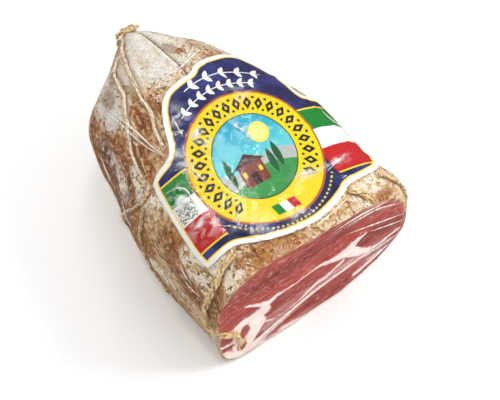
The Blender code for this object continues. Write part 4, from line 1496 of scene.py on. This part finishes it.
def soften(route, passes=3):
    """Take small shakes out of a route and keep its ends."""
    for _ in range(passes):
        route[1:-1] = (route[:-2] + route[1:-1] * 2 + route[2:]) / 4
    return route


print("routes can be laid on", len(casing_mesh.polygons), "faces")

# %% Stalks of a strand
TURN_LENGTH = 26.0             # mm in which a stalk winds once round its strand
WANDER_STEP, WANDER = 6.0, 1.2           # mm along the strand, and how far a stalk's angle strays
SPLAY, SPLAY_REACH = 0.7, 9.0  # how far the stalks splay over the last millimetres
SINK, SINK_REACH = 1.3, 5.0    # how far the last millimetres dip into the casing
LOWEST_STALK = -0.5


def stalks(route, count, seed, reach):
    """Return the stalks of one strand, which wind slowly round its route, wander, and splay at its end."""
    step = np.gradient(route, axis=0)
    step /= np.linalg.norm(step, axis=1, keepdims=True)
    out = np.array([tuple(casing_tree.find_nearest(Vector(point) * MM)[1]) for point in route])
    side = np.cross(step, out)
    draw = np.random.default_rng(seed)
    travel = np.concatenate([[0.0], np.cumsum(np.linalg.norm(np.diff(route, axis=0), axis=1))])
    knots = np.arange(0.0, travel[-1] + 2 * WANDER_STEP, WANDER_STEP)
    splay = 1 + SPLAY * ease(travel, travel[-1] - SPLAY_REACH, travel[-1])
    sink = SINK * ease(travel, travel[-1] - SINK_REACH, travel[-1])
    found = []
    for i in range(count):
        wander = np.interp(travel, knots, draw.uniform(-WANDER, WANDER, len(knots)))
        phase = 2 * np.pi * (i / count + travel / TURN_LENGTH) + wander
        away = reach * np.interp(travel, knots, draw.uniform(0.4, 1.0, len(knots)))
        rise = np.maximum(np.sin(phase) * away, LOWEST_STALK) - sink
        stalk = route + side * (np.cos(phase) * away * splay)[:, None] + out * rise[:, None]
        start, stop = draw.integers(0, 4), len(route) - draw.integers(0, 6)
        found.append(soften(stalk[start:stop]))
    return found


def bundles(routes, count, seed, reach):
    """Return the stalks of several strands."""
    return [stalk for i, route in enumerate(routes) for stalk in stalks(route, count, seed + i, reach)]


print("a stalk winds once in", TURN_LENGTH, "mm")

# %% Routes of the twine
LAY = TWINE / 2 + 0.25         # how far a strand's middle line lies off the casing
FRONT_LAY = LAY + 0.5
CURL_LAY = LAY + 0.2
CROSS_DRAWN_OUT = ((0.815, -0.166), (0.832, -0.163)) + CROSS_RUN + ((0.928, -0.158),)
PALE_RUNS = (((0.008, -0.075), (0.030, -0.064)) + TOP_RUN, ((0.106, -0.078),) + SIDE_RUN)
GOLD_RUNS = (HOOP_RUN, LOW_RUN, CROSS_DRAWN_OUT, CORNER_RUN, BACK_RUN, BACK_HOOP_RUN, BACK_LOW_RUN)
KNOT = (                        # (x, y, z) along it, across the tip and back
    (-90.6, -5.2, 60.4), (-90.4, -2.6, 62.0), (-89.4, 1.0, 63.0), (-88.0, 4.6, 63.4),
    (-86.8, 7.4, 62.8), (-88.0, 8.8, 61.2), (-89.8, 6.2, 61.8), (-90.6, 2.8, 61.2),
    (-91.2, -1.0, 60.2), (-91.0, -4.8, 58.6), (-89.4, -3.0, 62.6), (-87.6, 3.0, 64.2),
    (-86.6, 6.6, 63.8),
)
WRAP_TURNS, WRAP_START, WRAP_POINTS = 1.6, 0.62, 60
WRAP_STATIONS = (0.002, 0.014)

laid_runs = {name: [soften(hug(on_casing(run, LAY), LAY)) for run in runs]
             for name, runs in (("gold", GOLD_RUNS), ("pale", PALE_RUNS))}
front_points = [off_skin(station, girth, FRONT_LAY) for station, girth in FRONT_RUN]
front_points += [np.array((float(cut_face_x(y, z)) + CURL_LAY, y, z)) for y, z in CUT_CURL]
front_route = soften(smooth_route(front_points))
turn = np.linspace(0, WRAP_TURNS, WRAP_POINTS)
wrap_station = np.interp(turn, (0, WRAP_TURNS), WRAP_STATIONS)
wrap_route = soften(hug(off_skin(wrap_station, turn + WRAP_START, np.full(WRAP_POINTS, LAY)), LAY))
knot_route = smooth_route(KNOT)
print("the front strand is", round(len(front_route) * SPACING), "mm long")

# %% The twine
STALK = {"Thickness": 0.00105, "Turn Length": 0.005, "Step": 0.001, "Fibre Length": 0.0017,
         "Plies": 2, "Fibres": 1}
TWINES = (                      # (piece, material, routes, stalks, first seed, reach in mm)
    ("twine", gold_twine, laid_runs["gold"], 4, 40, 0.75),
    ("twine_pale", pale_twine, laid_runs["pale"], 5, 60, 0.75),
    ("twine_pair", straw_twine, [front_route, on_casing(RIGHT_RUN, LAY)], 11, 80, 1.9),
    ("twine_wrap_turns", gold_twine, [wrap_route, knot_route], 5, 90, 0.8),
)
wind = twine_tree(gold_twine)
twine, twine_pale, twine_pair, twine_wrap = (
    grown(name, wind, material, bundles(routes, count, seed, reach), **STALK)
    for name, material, routes, count, seed, reach in TWINES)

# %% [markdown]
# ## The film
# The sealed bag is a shrink film: it clings to the meat and spans from the twine to the skin like a
# tent.  Whitish patches over the print, white along its folds and pale streaks over the cut are
# painted highlights.  Cloth simulation could shrink it, but the height of a tight film is easy to say:
# what lies under it, eased out sideways.  Glass would darken what it covers, so the material mixes
# clear and glossy by the angle of view.

# %% Height of the film
FILM_OVER = 0.5
FILM_RINGS, FILM_SIDES, FILM_FACE_RINGS = 220, 300, 56
WRAP_REACH = 0.05
OVER_TWINE, OVER_LABEL, OVER_WRAP, OVER_CURL = 0.55, 0.3, 1.9, 0.4       # mm of air under the film
SUNKEN = 5                     # points at a strand's end, which dip in and lift no film
RIPPLE, RIPPLE_SIZE = 0.18, 6.0
FOLD_HEIGHT, FOLD_WIDTH = 0.5, 1.1
fold_routes = [on_casing(run, FILM_OVER) for run in FILM_FOLDS]


def label_cover(station, girth):
    """Return how far each place lies outside the label, negative inside, and how the paper rises there."""
    along = (station - LABEL_STATION) * LENGTH
    turn = (girth + 0.5) % 1.0 - 0.5
    arc = turn * girth_length(station) - LABEL_ARC
    u, v = np.linalg.solve(np.array((LABEL_RIGHT, LABEL_UP)).T, np.stack([arc.ravel(), along.ravel()]))
    rim = label_rim[::6]
    edges = list(zip(rim, np.roll(rim, -1, axis=0)))
    away = np.min([to_segment(u, v, start, end) for start, end in edges], axis=0)
    crossings = np.zeros(u.shape, int)
    for (u0, v0), (u1, v1) in edges:
        meet = u0 + (v - v0) * (u1 - u0) / (v1 - v0 if v1 != v0 else 1e-9)
        crossings += ((v0 > v) != (v1 > v)) & (u < meet)
    signed = np.where(crossings % 2 == 1, -away, away)
    rise = np.where(signed < 0.5, paper_rise(u, v), 0.0)
    return signed.reshape(station.shape), rise.reshape(station.shape)


def film_height(points, station, girth):
    """Return how high the film stands over the plain skin, and how far away its folds are."""
    to_twine = reach_to(points, [route[:-SUNKEN] for route in strand_routes])
    outside, paper = label_cover(station, girth)
    over_twine = (TWINE + OVER_TWINE) * (1 - ease(to_twine, 0.8, 5.2))
    over_label = (LABEL_LIFT + LABEL_THICKNESS + OVER_LABEL) * (1 - ease(outside, 0.2, 3.0)) + paper
    over_wrap = (TWINE + OVER_WRAP) * (1 - ease(station, 0.012, WRAP_REACH))
    lifted = np.maximum(np.maximum(over_twine, over_label), over_wrap)
    ripple = RIPPLE * (cloud(points, RIPPLE_SIZE, 31) + 1) * ease(points[..., 2], FLOOR_GAP, STEADY)
    to_fold = reach_to(points, fold_routes)
    return FILM_OVER + lifted + ripple + FOLD_HEIGHT * bell(to_fold, FOLD_WIDTH), to_fold


print("film folds:", [round(len(route) * SPACING) for route in fold_routes], "mm")

# %% Rings of the film
FILM_LOWEST = 0.06             # mm over the floor
film_station, film_girth = np.meshgrid(np.linspace(0, 1, FILM_RINGS) ** 1.1,
                                       np.arange(FILM_SIDES) / FILM_SIDES, indexing="ij")
film_base = skin(film_station, film_girth)
film_lift, film_to_fold = film_height(film_base, film_station, film_girth)
film_grid = film_base + normals_of(film_base) * film_lift[..., None]
film_grid[..., 2] = np.maximum(film_grid[..., 2], FILM_LOWEST)
print("the film stands up to", round(float(film_lift.max()), 1), "mm off the skin")

# %% Film over the cut and the tip
FACE_LIFT, FACE_LIP = 0.75, 0.5
FILM_TIP_CAP = ((0.5, 2.2), (0.85, 1.5))           # share of the tip's size, and how far out
FILM_TIP_OUT = 2.4
film_rim = film_grid[-1].copy()
film_middle = film_rim.mean(axis=0)
share = (1 - np.arange(FILM_FACE_RINGS) / FILM_FACE_RINGS)[:, None, None]
film_face = film_middle + (film_rim - film_middle) * share
curl_route = front_route[front_route[:, 0] > TIP_X + LENGTH - 4.0]
face_lift = FACE_LIFT + (TWINE + OVER_CURL) * (1 - ease(reach_to(film_face, [curl_route]), 0.9, 6.0))
film_face[..., 0] = cut_face_x(film_face[..., 1], film_face[..., 2]) + face_lift
film_face[0, :, 0] -= FACE_LIP
film_tip = film_grid[0]
tip_centre = film_tip.mean(axis=0)
tip_caps = [tip_centre + (film_tip - tip_centre) * size - np.array((out, 0, 0)) for size, out in FILM_TIP_CAP]
film_pole = np.array((float(cut_face_x(*film_middle[1:])) + FACE_LIFT, *film_middle[1:]))
film_mesh = ring_mesh("film", np.concatenate([tip_caps, film_grid[:-1], film_face]),
                      [tip_centre - (FILM_TIP_OUT, 0, 0), film_pole])
print("the film has", len(film_mesh.vertices), "points")

# %% What the film's material reads
FILM_GLARE_PATCHES = (                 # (station, girth, reach along, reach round, strength) of whitish patches, painted glare of the film
    (0.650, -0.114, 7, 6, 1.0), (0.775, -0.108, 6, 7, 1.0), (0.524, -0.034, 8, 3.5, 0.9),
    (0.590, 0.020, 9, 2.2, 0.9), (0.845, -0.070, 3, 5, 0.9), (0.879, -0.062, 3, 5, 0.8),
    (0.683, 0.190, 8, 6, 0.8), (0.430, -0.042, 8, 5, 0.6), (0.912, -0.004, 3, 6, 0.6),
    (0.560, -0.075, 8, 3, 0.6), (0.47, 0.06, 6, 9, 0.35), (0.824, 0.099, 2.2, 8, 1.0),
    (0.815, 0.050, 3, 7, 0.6), (0.37, -0.186, 18, 4, 0.6), (0.48, -0.196, 12, 6, 0.5),
)
# cloudy marks where white glare is painted on the film over the print
for name, on_skin, on_face in (("to_fold", film_to_fold, FARTHEST), ("on_cut", np.zeros_like(film_lift), 1.0),
                               ("cloudy", patches(film_station, film_girth, FILM_GLARE_PATCHES), 0.0)):
    face_values = np.full(film_face.shape[:2], on_face)
    store(film_mesh, name, np.concatenate([on_skin[:1], on_skin[:1], on_skin[:-1], face_values]))
print("kept on the film:", [kept.name for kept in film_mesh.attributes])

# %% Film material
MOST_MIRROR = 0.06             # a real film is thin and slack, so its steep sides never turn to mirrors
CLEAREST, MILKIEST = 0.004, 0.9          # shares of white film
film_material, tree, shader = new_material("shrink_film")
place = place_on_piece(tree)
drawn = mottle(tree, place_on_piece(tree, (0.5, 0.18, 1.0)), 1.6, 2.0, 0.5)
creep = mottle(tree, place, 5.0, 3.0, 0.55)
fold_ridge = attribute(tree, "to_fold").ramp(0.0, 0.9, 1.0, 0.0)
film_normal = bump(tree, creep * 0.8 + drawn * 0.35 + fold_ridge * 0.9, 0.9, 0.55)
shader.inputs["Base Color"].default_value = (0.9, 0.9, 0.9, 1.0)
shader.inputs["Roughness"].default_value = 0.3
tree.links.new(film_normal, shader.inputs["Normal"])
clear = tree.nodes.new("ShaderNodeBsdfTransparent")
gloss = tree.nodes.new("ShaderNodeBsdfGlossy")
gloss.inputs["Roughness"].default_value = 0.06
tree.links.new(film_normal, gloss.inputs["Normal"])
fresnel = tree.nodes.new("ShaderNodeFresnel")
fresnel.inputs["IOR"].default_value = 1.5
tree.links.new(film_normal, fresnel.inputs["Normal"])
skin_mix = tree.nodes.new("ShaderNodeMixShader")
mirror = Reading(tree, fresnel.outputs["Fac"]).least(MOST_MIRROR)
feed(tree, skin_mix.inputs[0], mirror)
tree.links.new(clear.outputs[0], skin_mix.inputs[1])
tree.links.new(gloss.outputs[0], skin_mix.inputs[2])
glare_breakup = mottle(tree, place_on_piece(tree, (1.0, 0.6, 1.0)), 5.0, 5.0, 0.62, 0.5).ramp(0.40, 0.62)
# painted sheen: white streaks on the film over the cut
painted_cut_sheen = drawn.ramp(0.62, 0.75) * attribute(tree, "on_cut") * 0.30
# painted highlight: white glare patches on the film over the print
painted_glare = glare_breakup * attribute(tree, "cloudy") * 0.8
# the white layer is a little real haze plus painted highlights: along the folds, over the cut, over the print
haze_and_painted_glints = (fold_ridge * 0.55 + painted_cut_sheen + painted_glare + CLEAREST).least(MILKIEST)
full_mix = tree.nodes.new("ShaderNodeMixShader")
feed(tree, full_mix.inputs[0], haze_and_painted_glints)
tree.links.new(skin_mix.outputs[0], full_mix.inputs[1])
tree.links.new(shader.outputs[0], full_mix.inputs[2])
tree.links.new(full_mix.outputs[0], tree.nodes["Material Output"].inputs["Surface"])
film = new_piece("film", film_mesh, film_material)

# %% [markdown]
# ## Ridges of the film
# Spare film stands up in fine ridges.  Their glints are painted: each thread is near-white, so it
# shows as a white line under any light.  They could be a bump, but a bump has no outline from the
# side.  Each ridge is a run that a second tree turns into a thin thread, and the thread swells,
# breaks and tapers to its ends.

# %% Runs of the ridges
FACE_FOLDS = (
    ((8, 92), (27, 90), (45, 85)), ((17, 88), (39, 83), (56, 70.5)),
    ((19, 77.5), (40, 64.5), (60, 54.5)), ((35, 60), (47, 53), (61, 45.5)),
    ((28, 30), (43.5, 30.5), (58, 32)), ((31, 24), (41, 24), (54, 25.5)),
    ((-44, 3), (-30, 14), (-12, 22)),
)
SHORT_FOLDS = (
    ((0.905, -0.232), (0.950, -0.262), (0.992, -0.300)),
    ((0.930, -0.225), (0.962, -0.250), (0.990, -0.275)),
    ((0.470, -0.205), (0.520, -0.222), (0.570, -0.226)),
    ((0.800, -0.195), (0.850, -0.205), (0.905, -0.200)),
    ((0.780, -0.178), (0.820, -0.190), (0.860, -0.196)),
    ((0.300, -0.215), (0.345, -0.222), (0.395, -0.226)),
)

LABEL_FOLDS = (
    ((0.612, -0.124), (0.621, -0.107), (0.643, -0.097), (0.673, -0.097), (0.695, -0.101)),
    ((0.555, -0.071), (0.592, -0.072), (0.640, -0.071), (0.688, -0.067)),
    ((0.796, -0.064), (0.822, -0.069), (0.844, -0.079)),
    ((0.542, 0.014), (0.582, 0.019), (0.630, 0.026)),
    ((0.411, -0.046), (0.456, -0.050), (0.504, -0.054)),
    ((0.839, 0.073), (0.824, 0.099), (0.809, 0.122)), ((0.802, 0.029), (0.811, 0.050), (0.833, 0.069)),
    ((0.629, 0.153), (0.673, 0.156), (0.705, 0.173)),
)
RIDGE_LIFT, LABEL_RIDGE_LIFT, FACE_RIDGE_LIFT = 1.25, 2.2, 0.8
RIDGE_RADIUS = 0.0008
ridge_routes = [on_casing(run, RIDGE_LIFT) for run in FILM_FOLDS + SHORT_FOLDS]
ridge_routes += [on_casing(run, LABEL_RIDGE_LIFT) for run in LABEL_FOLDS]
for fold in FACE_FOLDS:
    ridge_routes.append(smooth_route([(float(cut_face_x(y, z)) + FACE_RIDGE_LIFT, y, z) for y, z in fold]))
print("ridges:", len(ridge_routes))


# %% Tree and material of the ridges
def ridge_tree(material):
    """Build the tree: a thin line along each route that swells, breaks and tapers to its ends."""
    tree, entry, curve = start_tree("draw_ridges", (("Radius", 0.0003), ("Step", 0.0006)))
    share = Reading(tree, add(tree, "GeometryNodeSplineParameter").outputs["Factor"])
    swell = add(tree, "ShaderNodeTexNoise", {"Scale": 260.0}).outputs["Fac"]
    size = (share * math.pi).math("SINE") * swell
    inputs = {"Curve": curve, "Profile Curve": round_profile(tree, entry["Radius"], 6), "Scale": size,
              "Fill Caps": True}
    return end_tree(tree, material, add(tree, "GeometryNodeCurveToMesh", inputs).outputs["Mesh"])


# the threads are painted near-white: a painted highlight of the folded film
ridge_material, tree, shader = new_material("film_fold_painted_glint")
ridge_cloud = mottle(tree, place_on_piece(tree), 1.8, 3.0)
ridge_glint_colour = cover(tree, ridge_cloud, paint(226, 220, 208), paint(250, 248, 242))
tree.links.new(ridge_glint_colour, shader.inputs["Base Color"])
shader.inputs["Roughness"].default_value = 0.2
feed(tree, shader.inputs["Alpha"], ridge_cloud.ramp(0.35, 0.6, 0.35, 0.95))
ridges = ridge_tree(ridge_material)
film_ridges = grown("film_ridges", ridges, ridge_material, ridge_routes, Radius=RIDGE_RADIUS)

# %% [markdown]
# ## Riding on the frame
# Each piece rides on the one body, and the solids that it stands in for are hidden, so that the
# physics keeps its plain shapes while the render shows these.

# %% Bodies and hidden solids
for piece in (casing, cut_face, label, twine, twine_pale, twine_pair, twine_wrap, film, film_ridges):
    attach(piece, BODY)
for piece in (casing, cut_face, film, film_ridges):
    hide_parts("coppa")
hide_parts("label")
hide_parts("twine_hoop", "twine_low", "twine_cross", "twine_corner", "twine_back", "twine_back_hoop",
            "twine_back_low")
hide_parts("twine_top", "twine_side")
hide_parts("twine_front", "twine_right")
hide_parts("twine_wrap")
